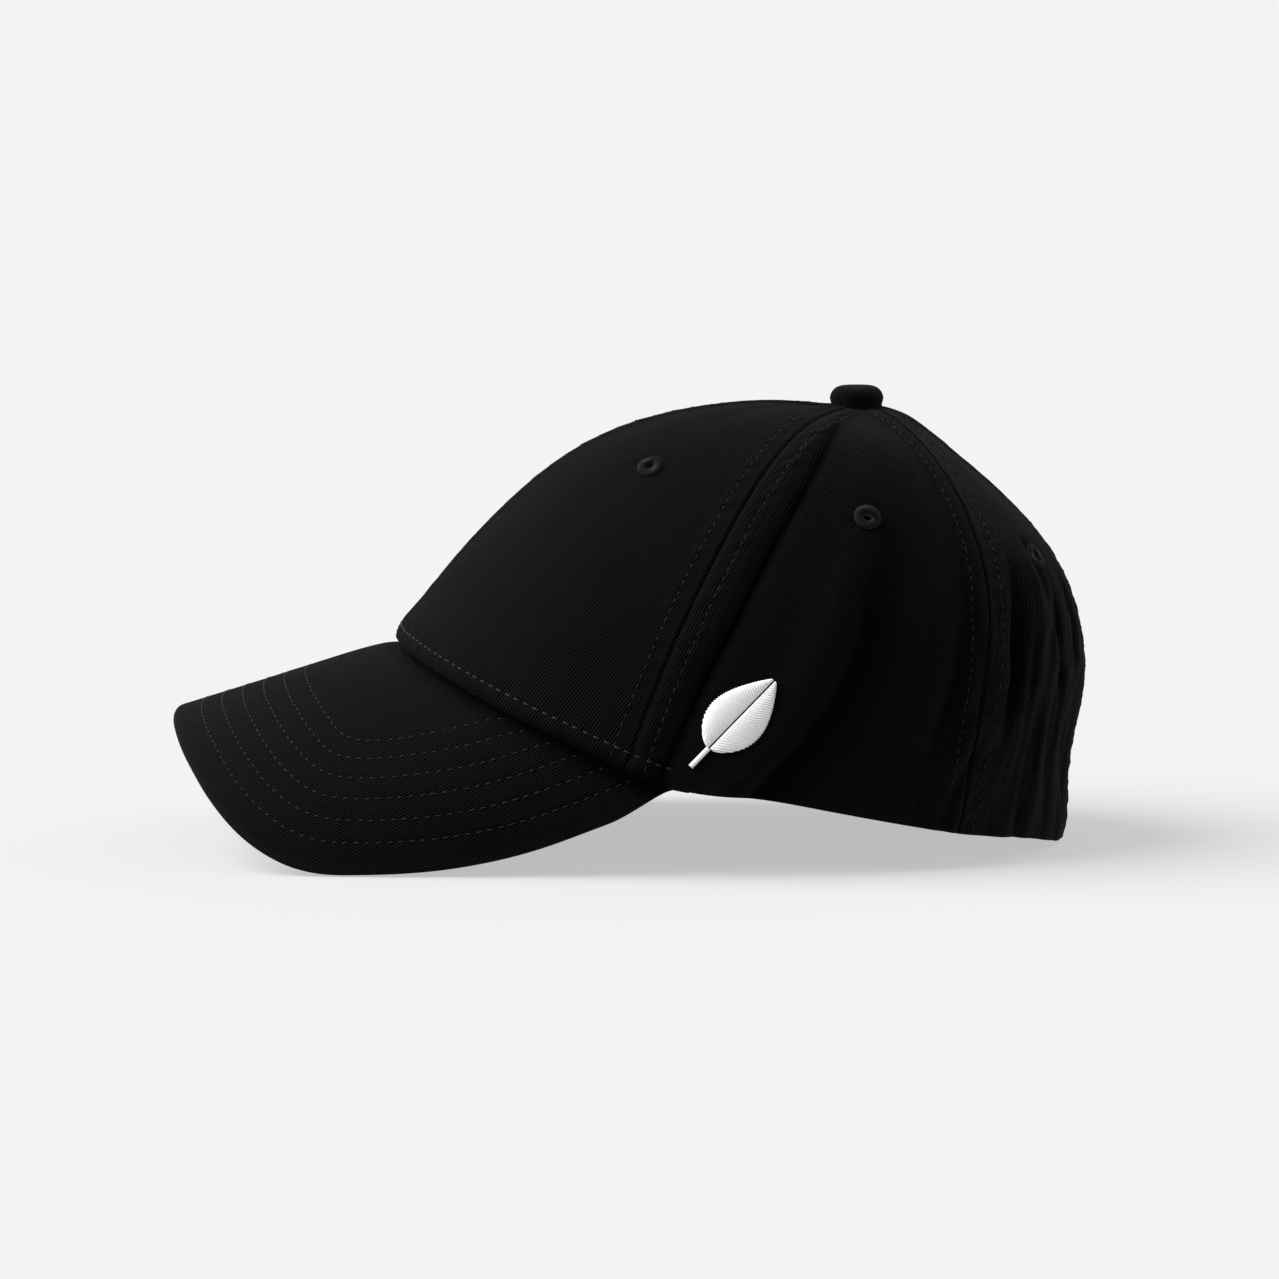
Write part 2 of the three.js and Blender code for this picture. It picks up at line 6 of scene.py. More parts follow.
import bmesh
import bpy
import numpy as np
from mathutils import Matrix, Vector


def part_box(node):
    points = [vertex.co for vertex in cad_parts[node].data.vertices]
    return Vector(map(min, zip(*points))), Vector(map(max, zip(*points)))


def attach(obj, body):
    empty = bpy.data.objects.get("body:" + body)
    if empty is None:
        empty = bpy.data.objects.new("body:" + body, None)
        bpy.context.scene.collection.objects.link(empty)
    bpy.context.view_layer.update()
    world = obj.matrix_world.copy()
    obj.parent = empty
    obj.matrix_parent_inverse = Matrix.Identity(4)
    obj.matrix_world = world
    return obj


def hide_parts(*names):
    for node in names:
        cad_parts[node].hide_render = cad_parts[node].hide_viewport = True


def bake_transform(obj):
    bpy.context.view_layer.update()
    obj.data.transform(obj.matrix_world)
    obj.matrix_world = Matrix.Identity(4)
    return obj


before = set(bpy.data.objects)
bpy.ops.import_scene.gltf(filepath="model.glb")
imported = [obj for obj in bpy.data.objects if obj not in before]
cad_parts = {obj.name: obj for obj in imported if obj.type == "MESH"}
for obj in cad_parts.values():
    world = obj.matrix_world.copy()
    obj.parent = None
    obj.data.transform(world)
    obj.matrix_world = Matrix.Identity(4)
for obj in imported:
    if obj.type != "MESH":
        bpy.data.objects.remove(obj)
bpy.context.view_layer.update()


# ---- Camera, light and floor ----
# A seamless pale studio floor. A broad soft light stands above and in front of the cap, a
# second one behind it catches the back of the crown, and the room fills in the rest.
scene = bpy.context.scene
camera = bpy.data.objects.new("camera", bpy.data.cameras.new("camera"))
scene.collection.objects.link(camera)
camera.location = (1.0951, 0.0033, 0.1629)
camera_target = Vector((0.0, 0.0033, 0.0594))
camera.rotation_mode = "QUATERNION"
camera.rotation_quaternion = (camera_target - camera.location).to_track_quat("-Z", "Y")
camera.data.lens = 103.2
camera.data.sensor_width = 36.0
scene.camera = camera
scene.view_settings.view_transform = "Standard"

# name: direction the light comes from, strength, spread in degrees
studio_lights = {
    "key_light": ((0.04, -0.88, 0.84), 8.2, 56),
    "top_light": ((-0.80, -0.3, 0.9), 0.3, 80),
    "back_light": ((-0.60, 1.0, 0.50), 1.1, 60),
}
for name, (direction, strength, spread) in studio_lights.items():
    light = bpy.data.lights.new(name, "SUN")
    light.energy = strength
    light.angle = np.radians(spread)
    lamp = bpy.data.objects.new(name, light)
    lamp.rotation_mode = "QUATERNION"
    lamp.rotation_quaternion = Vector(direction).to_track_quat("Z", "Y")
    scene.collection.objects.link(lamp)


class Wire:
    """One socket of a node tree. Arithmetic on it adds Math nodes."""

    def __init__(self, tree, socket=None):
        self.tree = tree
        self.socket = socket

    def node(self, kind, settings=None, values=None, output=0):
        """Adds a node, applies its settings, then fills its sockets with numbers or wires."""
        made = self.tree.nodes.new("ShaderNode" + kind)
        settings = dict(settings or {})
        for place, (position, colour) in enumerate(settings.pop("stops", [])):
            stops = made.color_ramp.elements
            stop = stops[place] if place < 2 else stops.new(position)
            stop.position, stop.color = position, colour
        for name, value in settings.items():
            setattr(made, name, value)
        for name, value in (values or {}).items():
            if isinstance(value, Wire):
                self.tree.links.new(value.socket, made.inputs[name])
            else:
                made.inputs[name].default_value = value
        return Wire(self.tree, made.outputs[output])

    def math(self, operation, *values):
        return self.node("Math", {"operation": operation}, dict(enumerate(values)))

    def __add__(self, other):
        return self.math("ADD", self, other)

    def __sub__(self, other):
        return self.math("SUBTRACT", self, other)

    def __rsub__(self, other):
        return self.math("SUBTRACT", other, self)

    def __mul__(self, other):
        return self.math("MULTIPLY", self, other)

    def __truediv__(self, other):
        return self.math("DIVIDE", self, other)

    def __pow__(self, other):
        return self.math("POWER", self, other)

    __radd__, __rmul__ = __add__, __mul__

    def parts(self):
        """The x, y and z of a vector."""
        split = self.node("SeparateXYZ", None, {0: self})
        return [Wire(self.tree, split.socket.node.outputs[k]) for k in range(3)]

    def wave(self):
        """From 0 to 1 and back, once for each whole number."""
        return self.math("SINE", self * (2 * np.pi)) * 0.5 + 0.5

    def noise(self, scale, detail=2.0):
        """Uneven patches. The scale is in patches per unit of the vector."""
        values = {"Vector": self, "Scale": scale, "Detail": detail}
        return self.node("TexNoise", None, values)

    def mix(self, low, high):
        """A colour between two, by this wire's value."""
        return self.node("Mix", {"data_type": "RGBA"}, {0: self, 6: low, 7: high}, 2)


def new_material(name, settings):
    """A Principled material. Returns its empty wire, its shader node and the material."""
    material = bpy.data.materials.new(name)
    material.use_nodes = True
    shader = material.node_tree.nodes["Principled BSDF"]
    for socket, value in settings.items():
        shader.inputs[socket].default_value = value
    return Wire(material.node_tree), shader, material


def feed(wire, shader, colour=None, rough=None, height=None, relief_mm=0.2):
    """Connects colour, roughness and a height for the bump, relief_mm deep at height 1."""
    if colour is not None:
        wire.tree.links.new(colour.socket, shader.inputs["Base Color"])
    if rough is not None:
        wire.tree.links.new(rough.socket, shader.inputs["Roughness"])
    if height is not None:
        values = {"Strength": 1.0, "Distance": relief_mm / 1000, "Height": height}
        bump = wire.node("Bump", None, values)
        wire.tree.links.new(bump.socket, shader.inputs["Normal"])


# The floor is a lit table: it glows a little, so that the shadows on it stay light.
wire, shader, floor_paper = new_material("lit_table", {
    "Roughness": 0.9, "Specular IOR Level": 0.0,
    "Emission Color": (1, 1, 1, 1), "Emission Strength": 0.50})
patches = wire.node("TexCoord", None, None, 3).noise(3.0)
feed(wire, shader, patches.mix((0.160, 0.160, 0.160, 1), (0.164, 0.164, 0.164, 1)))
floor_mesh = bpy.data.meshes.new("floor")
half = 60  # metres, so that its edge is never seen
floor_mesh.from_pydata([(-half, -half, 0), (half, -half, 0), (half, half, 0), (-half, half, 0)],
                       [], [(0, 1, 2, 3)])
floor_mesh.materials.append(floor_paper)
floor = bpy.data.objects.new("floor", floor_mesh)
scene.collection.objects.link(floor)

# The backdrop shows as white, and lights the cap more weakly than it shows.
world = bpy.data.worlds.new("room")
world.use_nodes = True
scene.world = world
room = Wire(world.node_tree)
backdrop = world.node_tree.nodes["Background"]
strength = room.node("LightPath") * 0.448 + 0.45
room.tree.links.new(strength.socket, backdrop.inputs["Strength"])
backdrop.inputs["Color"].default_value = (1, 1, 1, 1)


# ---- Crown panels ----
# Six panels of black cotton twill, sewn edge to edge with their allowances pressed open. The
# two front ones are held up by stiff lining, and the back ones are drawn in by elastic.
def cubic(points):
    """A natural cubic through (x, y) points: its second slopes solve the usual tridiagonal
    equations, and each span is a straight line plus the cubic terms of its two slopes."""
    x, y = np.array(points, float).T
    gap = np.diff(x)
    system = np.eye(len(x))
    jump = np.zeros(len(x))
    inner = np.arange(1, len(x) - 1)
    system[inner, inner - 1] = gap[:-1] / 6
    system[inner, inner] = (gap[:-1] + gap[1:]) / 3
    system[inner, inner + 1] = gap[1:] / 6
    jump[1:-1] = np.diff(np.diff(y) / gap)
    bend = np.linalg.solve(system, jump)

    def value(t):
        i = np.clip(np.searchsorted(x, t) - 1, 0, len(x) - 2)
        a, b = (x[i + 1] - t) / gap[i], (t - x[i]) / gap[i]
        curve = (a**3 - a) * bend[i] + (b**3 - b) * bend[i + 1]
        return a * y[i] + b * y[i + 1] + curve * gap[i] ** 2 / 6

    return value


def smooth_curve(points):
    """A smooth plane curve through points, as a function of the share of its length."""
    points = np.array(points, float)
    reach = np.append(0, np.cumsum(np.hypot(*np.diff(points, axis=0).T)))
    t = np.linspace(0, reach[-1], 401)
    table = np.stack([cubic(np.c_[reach, points[:, k]])(t) for k in (0, 1)], axis=1)
    length = np.append(0, np.cumsum(np.hypot(*np.diff(table, axis=0).T)))

    def value(share):
        want = np.clip(share, 0, 1) * length[-1]
        return np.stack([np.interp(want, length, table[:, k]) for k in (0, 1)], axis=-1)

    return value


crown_tilt = np.radians(17)
crown_foot = np.array([0, 37.1, 28.1])
front_profile = smooth_curve([[0, 105.8], [17.8, 101.6], [54.3, 87], [85.9, 56.7],
                              [102.9, 23.2], [108.8, 10], [110.9, 4.5], [110.6, 0]])
side_profile = smooth_curve([[0, 105.8], [30, 99], [56, 77], [72, 46], [80, 15], [81.5, 0]])
back_profile = smooth_curve([[0, 105.8], [9, 108], [25.3, 103.9], [40.3, 97.8], [70.9, 79],
                             [88.6, 47.3], [92.4, 20.2], [96.3, 5], [96.7, 0]])
edge_height = cubic([[0, 60.3], [15, 58], [30, 51.9], [45, 43.2], [60, 33.7], [75, 25.1],
                     [90, 22.2], [105, 18.4], [120, 13.9], [135, 9.5], [150, 6.0], [161, 3.1],
                     [170, 1.0], [180, 0]])
front_seam, back_seam = 65.5, 132.5
cloth_thickness = 0.8
arc_length = 165.0  # from the button to the edge, along the crown


def plain_crown(azimuth, arc):
    """Front, side and back profiles, mixed by the cosine of the azimuth, on a leaning axis."""
    c = np.cos(np.radians(azimuth))[..., None]
    f, s, b = front_profile(arc), side_profile(arc), back_profile(arc)
    radius, height = np.moveaxis(s + ((f + b) / 2 - s) * c * c + (f - b) / 2 * c, -1, 0)
    rearward = -radius * np.cos(np.radians(azimuth))
    sin, cos = np.sin(crown_tilt), np.cos(crown_tilt)
    return np.stack([
        radius * np.sin(np.radians(azimuth)),
        crown_foot[1] + rearward * cos + height * sin,
        crown_foot[2] - rearward * sin + height * cos,
    ], axis=-1)


def crown_point(azimuth, arc):
    """The plain crown with the lowest part of its wall lengthened to the edge's height."""
    azimuth, arc = np.broadcast_arrays(np.asarray(azimuth, float), np.asarray(arc, float))
    turn = np.abs((azimuth + 540) % 360 - 180)
    height = np.maximum(edge_height(turn), 0)
    lift = (height - plain_crown(azimuth, np.ones_like(arc))[..., 2]) / np.cos(crown_tilt)
    wall_up = np.array([0, np.sin(crown_tilt), np.cos(crown_tilt)])
    return plain_crown(azimuth, arc) + (lift * arc**4)[..., None] * wall_up


def unit(vectors):
    return vectors / np.maximum(np.linalg.norm(vectors, axis=-1, keepdims=True), 1e-9)


def crown_normal(azimuth, arc):
    """Outward: the slope down the wall crossed with the slope round it."""
    low = np.minimum(np.asarray(arc) + 0.0005, 1)
    round_ = crown_point(azimuth + 0.05, arc) - crown_point(azimuth - 0.05, arc)
    return unit(np.cross(crown_point(azimuth, low) - crown_point(azimuth, low - 0.001), round_))


def degree(arc):
    """Length in mm of one degree round the crown, nearly."""
    return np.maximum(side_profile(np.asarray(arc, float))[..., 0], 2) * 1.08 * np.pi / 180


def step(value):
    """Smoothly from 0 to 1 while the value goes from 0 to 1."""
    value = np.clip(value, 0, 1)
    return value * value * (3 - 2 * value)


def bell(value):
    """1 at zero, falling off on both sides as e to the minus value squared."""
    return np.exp(-(value**2))


# Folds in the cloth: arcs, azimuths, depth, width in front of the line and behind it.
left_folds = [
    ([0.03, 0.27, 0.43, 0.575, 0.71, 0.79, 0.99, 1.3],
     [76.5, 79, 78, 76.2, 74.9, 73.6, 71.5, 69.0], 2.0, 1.0, 3.0),
    ([0.12, 0.30, 0.50, 0.70, 0.96], [73.5, 73.5, 72.6, 71.4, 69.0], -0.8, 3.8, 2.0),
    ([0.38, 0.51, 0.60, 0.68, 0.805, 0.91, 1.25], [105, 105, 103, 104, 101, 96, 74], 2.7, 5.0, 22),
    ([0.44, 0.60, 0.75, 0.90, 1.15], [97, 95, 94, 90, 76], -1.0, 7, 5),
    ([0.42, 0.56, 0.70, 0.86, 0.99], [118, 119, 117, 115, 110], -1.1, 7, 6),
    ([0.50, 0.64, 0.78, 0.93], [125.5, 126.5, 125.0, 122.0], 1.1, 2.5, 4.5),
    ([0.44, 0.56, 0.635, 0.70, 0.84], [143.0, 141.3, 140.2, 140.6, 138.5], 2.4, 1.3, 3.4),
    ([0.42, 0.56, 0.64, 0.80], [150.0, 149.4, 148.2, 146.5], -1.3, 2.4, 2.6),
    ([0.41, 0.457, 0.503, 0.58], [151.0, 153.1, 153.2, 152.0], 1.5, 1.0, 2.4),
    ([0.50, 0.62, 0.74, 0.88], [157.0, 156.0, 157.5, 156.0], 1.5, 1.3, 1.9),
    ([0.46, 0.60, 0.70], [163.5, 165.0, 164.0], 1.2, 1.1, 2.2),
    ([0.70, 0.80, 0.93, 1.1], [147.5, 149.0, 147.0, 149.0], 1.3, 1.2, 3.4),
    ([0.06, 0.16, 0.28, 0.40], [96, 92, 88, 84], 0.6, 6, 7),
]
right_folds = [
    ([0.32, 0.50, 0.68, 0.86], [-79, -77, -75.5, -73.5], 1.0, 3.0, 1.6),
    ([0.44, 0.60, 0.78, 0.97], [-104, -108, -103, -95], 1.4, 9, 8),
    ([0.50, 0.62, 0.78], [-141, -140, -143], 1.4, 4.0, 3.0),
    ([0.46, 0.60, 0.74], [-126, -124, -125], 0.8, 4.0, 3.5),
]
# Spacing, depth, first azimuth, first arc and wander of the elastic back's gathers.
gathers = [(19.5, 0.85, 118, 0.44, 1.0), (10.3, 0.46, 112, 0.40, 2.2), (5.3, 0.16, 106, 0.36, 4.1)]
seams = np.array([0, front_seam, back_seam, 180, -front_seam, -back_seam, -180])
row_offset = 5.0  # topstitching on each side of a seam
edge_row = 4.5  # topstitching above the front edge
eyelet_places = {"front": (36.5, 0.485), "side": (99, 0.441), "back": (155, 0.467)}
eyelet_spots = [(a * sign, arc) for a, arc in eyelet_places.values() for sign in (1, -1)]


def fold_bell(azimuth, arc, fold, widen=1.0):
    """From 0 to 1: a bell across the fold's line, with its own width on each side, which
    swells in the middle of its run and fades at its ends."""
    arcs, azimuths, _, before, behind = fold
    across = (azimuth - np.interp(arc, arcs, azimuths)) * degree(arc)
    share = (arc - arcs[0]) / (arcs[-1] - arcs[0])
    width = np.where(across * np.sign(azimuths[0]) < 0, before, behind)
    width = width * widen * (0.65 + 0.45 * np.sin(np.pi * np.clip(share, 0, 1)))
    return step(share / 0.30) * step((1 - share) / 0.30) * bell(across / width)


def broad_relief(azimuth, arc):
    """Outward bulges in mm: the folds, the back's upright puckers and a slow unevenness."""
    out = np.zeros(np.shape(azimuth))
    for fold in left_folds + right_folds:
        out -= fold[2] * fold_bell(azimuth, arc, fold)
    turn = np.abs(azimuth)
    round_ = turn * 1.66
    # The gathers are folds of three spacings that wander, and come and go in patches.
    sway = 0.5 * np.sin(arc * 7 + azimuth * 0.05) + 0.25 * np.sin(arc * 17 - azimuth * 0.11)
    sway = sway + np.sign(azimuth) * 0.3
    for pitch, depth, start, top, drift in gathers:
        held = step((turn - start) / 22) * step((arc - top) / 0.26)
        patch = np.sin(azimuth * 0.17 * drift + arc * 5 * drift + drift)
        patch = 0.55 + 0.45 * patch * np.sin(arc * 6.5 + drift * 2)
        ridge = 2 * np.abs(np.sin(np.pi * (round_ / pitch + sway * 1.2 + drift))) ** 0.9 - 1.2
        out += held * patch * depth * ridge
    slow = np.sin(azimuth * 0.093 + arc * 5.1) * np.sin(arc * 12.7 - azimuth * 0.051 + 0.6)
    slow += 0.6 * np.sin(azimuth * 0.21 - arc * 9.3 + 1.9) * np.sin(arc * 8.1 + azimuth * 0.13)
    return out + 0.36 * slow * step((arc - 0.04) / 0.2) * np.where(turn < front_seam, 0.75, 1.0)


def seam_distance(azimuth, arc):
    """Distance in mm to the nearest panel seam."""
    return np.abs(azimuth[..., None] - seams).min(-1) * degree(arc)


def relief(azimuth, arc):
    """All of the outer cloth's bulges: the broad ones, the dip at each seam, the raised
    allowance beside it, the drawn-in stitch rows with their small puckers, the eyelets'
    dimples and the doubled cloth above the edge."""
    azimuth, arc = np.broadcast_arrays(np.asarray(azimuth, float), np.asarray(arc, float))
    away = seam_distance(azimuth, arc)
    run = arc * arc_length
    open_ = step((arc - 0.03) / 0.07)
    out = broad_relief(azimuth, arc) + 0.5 * step((0.075 - arc) / 0.05)
    out += open_ * 0.40 * step((7.4 - away) / 1.8)
    out -= open_ * 0.62 * bell(away / 0.60)
    out -= open_ * 0.24 * bell((away - row_offset) / 0.55)
    pull = np.sin(2 * np.pi * run / 6.1 + azimuth)
    pull += 0.7 * np.sin(2 * np.pi * run / 9.7 + azimuth * 0.7)
    out += open_ * 0.13 * pull * bell((away - row_offset) / 3.0)
    for spot, spot_arc in eyelet_spots:
        far = np.hypot((azimuth - spot) * degree(spot_arc), (arc - spot_arc) * arc_length)
        out += 0.22 * bell(far / 5.0) - 0.30 * bell((far - 5.2) / 1.4)
    below = (1 - arc) * arc_length
    turn = np.abs(azimuth)
    front = step((75 - turn) / 3)
    out += front * (0.6 * step((6.0 - below) / 3.2) - 0.34 * bell((below - edge_row) / 0.6))
    hem_pull = np.sin(2 * np.pi * turn * 1.6 / 6.7) * 0.12
    out += front * hem_pull * bell((below - edge_row) / 3.0)
    return out + 0.3 * (1 - front) * step((9 - below) / 4)


def on_crown(azimuth, arc, depth, bulge=relief):
    """A place at a depth in mm under the crown's cloth."""
    azimuth, arc = np.broadcast_arrays(np.asarray(azimuth, float), np.asarray(arc, float))
    lift = bulge(azimuth, arc) - depth
    return crown_point(azimuth, arc) + crown_normal(azimuth, arc) * lift[..., None]


def inside_crown(azimuth, arc, depth):
    """The same for the layers inside, which follow only the broad bulges."""
    return on_crown(azimuth, arc, depth, broad_relief)


def slab(outer, inner, keep=None, ring=False):
    """Two grids of points, joined by walls round every rim. A ring closes on its columns.
    keep marks the cells that aren't holes. Returns points, quads and each point's place."""
    rows, cols = outer.shape[:2]
    number = np.arange(rows * cols).reshape(rows, cols)
    if ring:
        number = np.hstack([number, number[:, :1]])
    corners = np.stack([number[:-1, :-1], number[1:, :-1], number[1:, 1:], number[:-1, 1:]], -1)
    if keep is None:
        keep = np.ones(corners.shape[:2], bool)
    framed = np.pad(keep, 1)
    if ring:
        framed[:, 0], framed[:, -1] = framed[:, -2], framed[:, 1]
    beside = [framed[1:-1, :-2], framed[2:, 1:-1], framed[1:-1, 2:], framed[:-2, 1:-1]]
    count = rows * cols
    quads = [corners[keep], corners[keep][:, ::-1] + count]
    for k, other in enumerate(beside):
        rim = corners[keep & ~other]
        a, b = rim[:, k], rim[:, (k + 1) % 4]
        quads.append(np.stack([b, a, a + count, b + count], 1))
    quads = np.vstack(quads)
    points = np.vstack([outer.reshape(-1, 3), inner.reshape(-1, 3)])
    a, b, c, d = (points[quads[:, k]] for k in range(4))
    inside = (a * (np.cross(b, c) + np.cross(c, d))).sum()
    if inside < 0:  # the volume is negative, so the faces point inwards
        quads = quads[:, ::-1]
    used, quads = np.unique(quads, return_inverse=True)
    return points[used], quads.reshape(-1, 4), used % count


def piece(name, points, faces, material, across=None, extra=None, period=None):
    """A mesh object from points in mm. across holds each point's place on the flat cloth in
    mm, for the weave, and extra how rubbed and pale it is, and how dark with painted shade.
    Where the cloth closes on itself, period is its length round."""
    mesh = bpy.data.meshes.new(name)
    faces_list = faces if isinstance(faces, list) else faces.tolist()
    mesh.from_pydata((points / 1000).tolist(), [], faces_list)
    mesh.polygons.foreach_set("use_smooth", np.full(len(mesh.polygons), True))
    if across is not None:
        corner = across[np.ravel(faces)].reshape(-1, 4, 2)
        if period:
            wraps = np.ptp(corner[..., 0], axis=1) > period / 2
            corner[..., 0] += period * (wraps[:, None] & (corner[..., 0] < period / 2))
        mesh.uv_layers.new(name="Cloth").data.foreach_set("uv", corner.ravel().astype(np.float32))
    if extra is not None:
        wear_and_shade = mesh.attributes.new("wear_and_shade", "FLOAT", "POINT")
        wear_and_shade.data.foreach_set("value", np.asarray(extra, np.float32))
    mesh.materials.append(material)
    made = bpy.data.objects.new(name, mesh)
    scene.collection.objects.link(made)
    return made


def grid_area(points):
    """Area in square metres of a grid of points in mm."""
    down, along = np.diff(points[:, :-1], axis=0), np.diff(points[:-1], axis=1)
    return float(np.linalg.norm(np.cross(down, along), axis=-1).sum()) / 1e6


def flexes(made):
    """Bakes the piece's placement into its points."""
    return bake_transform(made)


def rides_or_flexes(made, behind):
    """Cloth behind the temples is attached to the crown's body; cloth in front of them has its
    placement baked into its points.
    """
    if behind:
        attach(made, "crown")
    else:
        flexes(made)


def twill(name, lean, dark=(0.0001, 0.0001, 0.0001, 1), light=(0.0062, 0.0044, 0.0044, 1)):
    """Cotton twill. Fine ribs run up the cloth at a steep lean, each broken into short floats
    by the cross threads. The cloth is a little paler where rubbed along raised edges, and
    darker where shade is painted into folds and creases."""
    wire, shader, made = new_material(name, {
        "Roughness": 0.86, "Specular IOR Level": 0.03, "Sheen Weight": 0.026,
        "Sheen Roughness": 0.26, "Sheen Tint": (1.0, 0.84, 0.88, 1)})
    place = wire.node("UVMap", {"uv_map": "Cloth"})
    u, v, _ = place.parts()
    sin, cos = float(np.sin(lean)), float(np.cos(lean))
    drift = place.noise(0.16, 1.0) * 0.9
    rib = ((u * (sin / 0.8) - v * (cos / 0.8)) + drift).wave()
    float_ = ((u * (cos / 0.62) + v * (sin / 0.62)) + (u * (sin / 1.6) - v * (cos / 1.6))).wave()
    fuzz = place.noise(2.6, 3.0)
    patch = place.noise(0.045, 3.0)
    # The attribute read here holds wear, which pales the cloth, and painted shade, which darkens
    # it.
    worn_and_shaded = wire.node("Attribute", {"attribute_name": "wear_and_shade"}, None, 2)
    height = rib * 0.60 + rib * float_ * 0.30 + fuzz * 0.45
    tone = rib * 0.50 + rib * float_ * 0.26 + fuzz * 0.60 + patch * 0.22 + worn_and_shaded * 0.40 - 0.44
    feed(wire, shader, tone.mix(dark, light), 0.93 - rib * 0.08 - worn_and_shaded * 0.08, height, 0.46)
    return made


panel_twill = twill("panel_twill", np.radians(77))

hole_radius = 2.2
roll = 0.7  # radius of the folded hem
last_millimetre = 1 - np.array([1.0, 0.75, 0.5, 0.3, 0.15, 0.05, 0]) / arc_length
panel_arcs = np.concatenate([
    np.linspace(0.02, 0.955, 132), np.linspace(0.9585, 0.992, 16), last_millimetre])


def panel_lines(start, end, count, fine=0, fine_end=0):
    """Even azimuths, with closer ones beside both seams where the cloth rolls under, and over
    the sharp fold that starts at the first seam."""
    near = np.array([0, 0.2, 0.4, 0.65, 0.95, 1.3]) / 1.6
    first, last = start + near[-1] + 0.3, end - near[-1] - 0.3
    middle = np.linspace(first, last, count)
    if fine:
        rest = np.linspace(fine_end, last, count)[1:]
        middle = np.append(np.linspace(first, fine_end, fine), rest)
    return np.concatenate([start + near, middle, end - near[::-1]])


def crown_sheet(azimuths, arcs, outer, inner, holes, hem=True):
    """The two faces of a layer of the crown. Points inside a hole move out to its rim, and the
    lowest millimetre of a hemmed outer face rolls in a quarter circle to meet the inner one.
    Returns the faces, the cells to keep, and each point's place on the cloth and the crown."""
    azimuth, arc = np.meshgrid(azimuths, arcs)
    keep = np.ones((len(arcs) - 1, len(azimuths) - 1), bool)
    for spot, spot_arc in holes:
        dx, dy = (azimuth - spot) * degree(spot_arc), (arc - spot_arc) * arc_length
        far = np.maximum(np.hypot(dx, dy), 1e-6)
        inside = far < hole_radius
        push = np.where(inside, hole_radius / far, 1)
        azimuth = spot + dx * push / degree(spot_arc)
        arc = spot_arc + dy * push / arc_length
        keep &= ~(inside[:-1, :-1] & inside[1:, :-1] & inside[1:, 1:] & inside[:-1, 1:])
    below = np.clip(roll - (1 - arc) * arc_length, 0, roll) if hem else np.zeros_like(arc)
    rolled = roll - np.sqrt(np.maximum(roll**2 - below**2, 0))
    mid = (azimuths[0] + azimuths[-1]) / 2
    flat = np.stack([(azimuth - mid) * degree(arc), -arc * arc_length], -1).reshape(-1, 2)
    faces = on_crown(azimuth, arc, outer + rolled), on_crown(azimuth, arc, inner)
    return *faces, keep, flat, azimuth, arc


# First and last azimuth, number of columns, and the finer columns over the sharp fold.
panel_ranges = {"front": (0, front_seam, 100), "side": (front_seam, back_seam, 60, 46, 83),
                "back": (back_seam, 180, 84)}
for place, (start, end, *counts) in panel_ranges.items():
    for word, sign in (("left", 1), ("right", -1)):
        azimuths = sign * panel_lines(start, end, *counts)
        spot, spot_arc = eyelet_places[place]
        outer, inner, keep, flat, azimuth, arc = crown_sheet(
            azimuths, panel_arcs, 0, cloth_thickness, [(spot * sign, spot_arc)])
        points, quads, where = slab(outer, inner, keep)
        away = seam_distance(azimuth, arc)
        below, turn = (1 - arc) * arc_length, np.abs(azimuth)
        # Raised cloth is rubbed pale. Painted shade darkens the deeper folds along their lines, and
        # the crease over the brim under the crown's edge.
        rubbing_and_painted_shade = 0.55 * bell((away - 1.4) / 0.9) + 0.45 * bell(below / 1.6)
        rubbing_and_painted_shade += 0.3 * np.clip(relief(azimuth, arc) - 0.2, 0, 1) * step((turn - 66) / 6)
        # Painted shade: the lowest cloth over the brim is darkened, under the crown's overhanging
        # edge.
        rubbing_and_painted_shade -= 1.8 * step((75 - turn) / 3) * bell(below / 1.5)
        # Painted shade: each deeper fold is darkened along its line.
        for fold in left_folds + right_folds:
            depth, narrow = fold[2], 0.75 if fold[4] < 9 else 0.4
            if depth > 0.9:
                rubbing_and_painted_shade -= 0.45 * min(depth, 2.4) * fold_bell(azimuth, arc, fold, narrow)
        made = piece(f"{place}_panel_{word}_cloth", points, quads, panel_twill,
                     flat[where], rubbing_and_painted_shade.ravel()[where])
        width = np.ptp(azimuths) * degree(1.0) / 1000
        cut = grid_area(crown_point(*np.meshgrid(azimuths, panel_arcs)))
        "gathered" if place == "back" else "stretched"
        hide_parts(f"{place}_panel_{word}")
        rides_or_flexes(made, place == "back")


# ---- Topstitching of the crown ----
# Two rows of black polyester thread beside every panel seam, 5 mm from it, and one row above
# the front edge that also holds the brim's allowance and the sweatband.
def thread(name, dark, light, pitch=0.35):
    """Twisted thread: slanting strands round each stitch, with a dull shine."""
    wire, shader, made = new_material(name, {
        "Roughness": 0.5, "Specular IOR Level": 0.12, "Sheen Weight": 0.03, "Sheen Roughness": 0.4})
    place = wire.node("TexCoord", None, None, 3)
    x, y, z = place.parts()
    strand = ((y + z * 0.9 + x * 0.6) * (1000 / pitch)).wave()
    fuzz = place.noise(2600.0, 2.0)
    feed(wire, shader, (strand * 0.55 + fuzz * 0.45).mix(dark, light), 0.62 - strand * 0.14,
         strand * 0.7 + fuzz * 0.5, 0.12)
    return made


seam_thread = thread("seam_thread", (0.0015, 0.0015, 0.0015, 1), (0.0080, 0.0078, 0.0084, 1))
row_thread = thread("row_thread", (0.003, 0.003, 0.003, 1), (0.0150, 0.0146, 0.0150, 1))
edge_thread = thread("edge_thread", (0.006, 0.006, 0.006, 1), (0.030, 0.029, 0.031, 1))


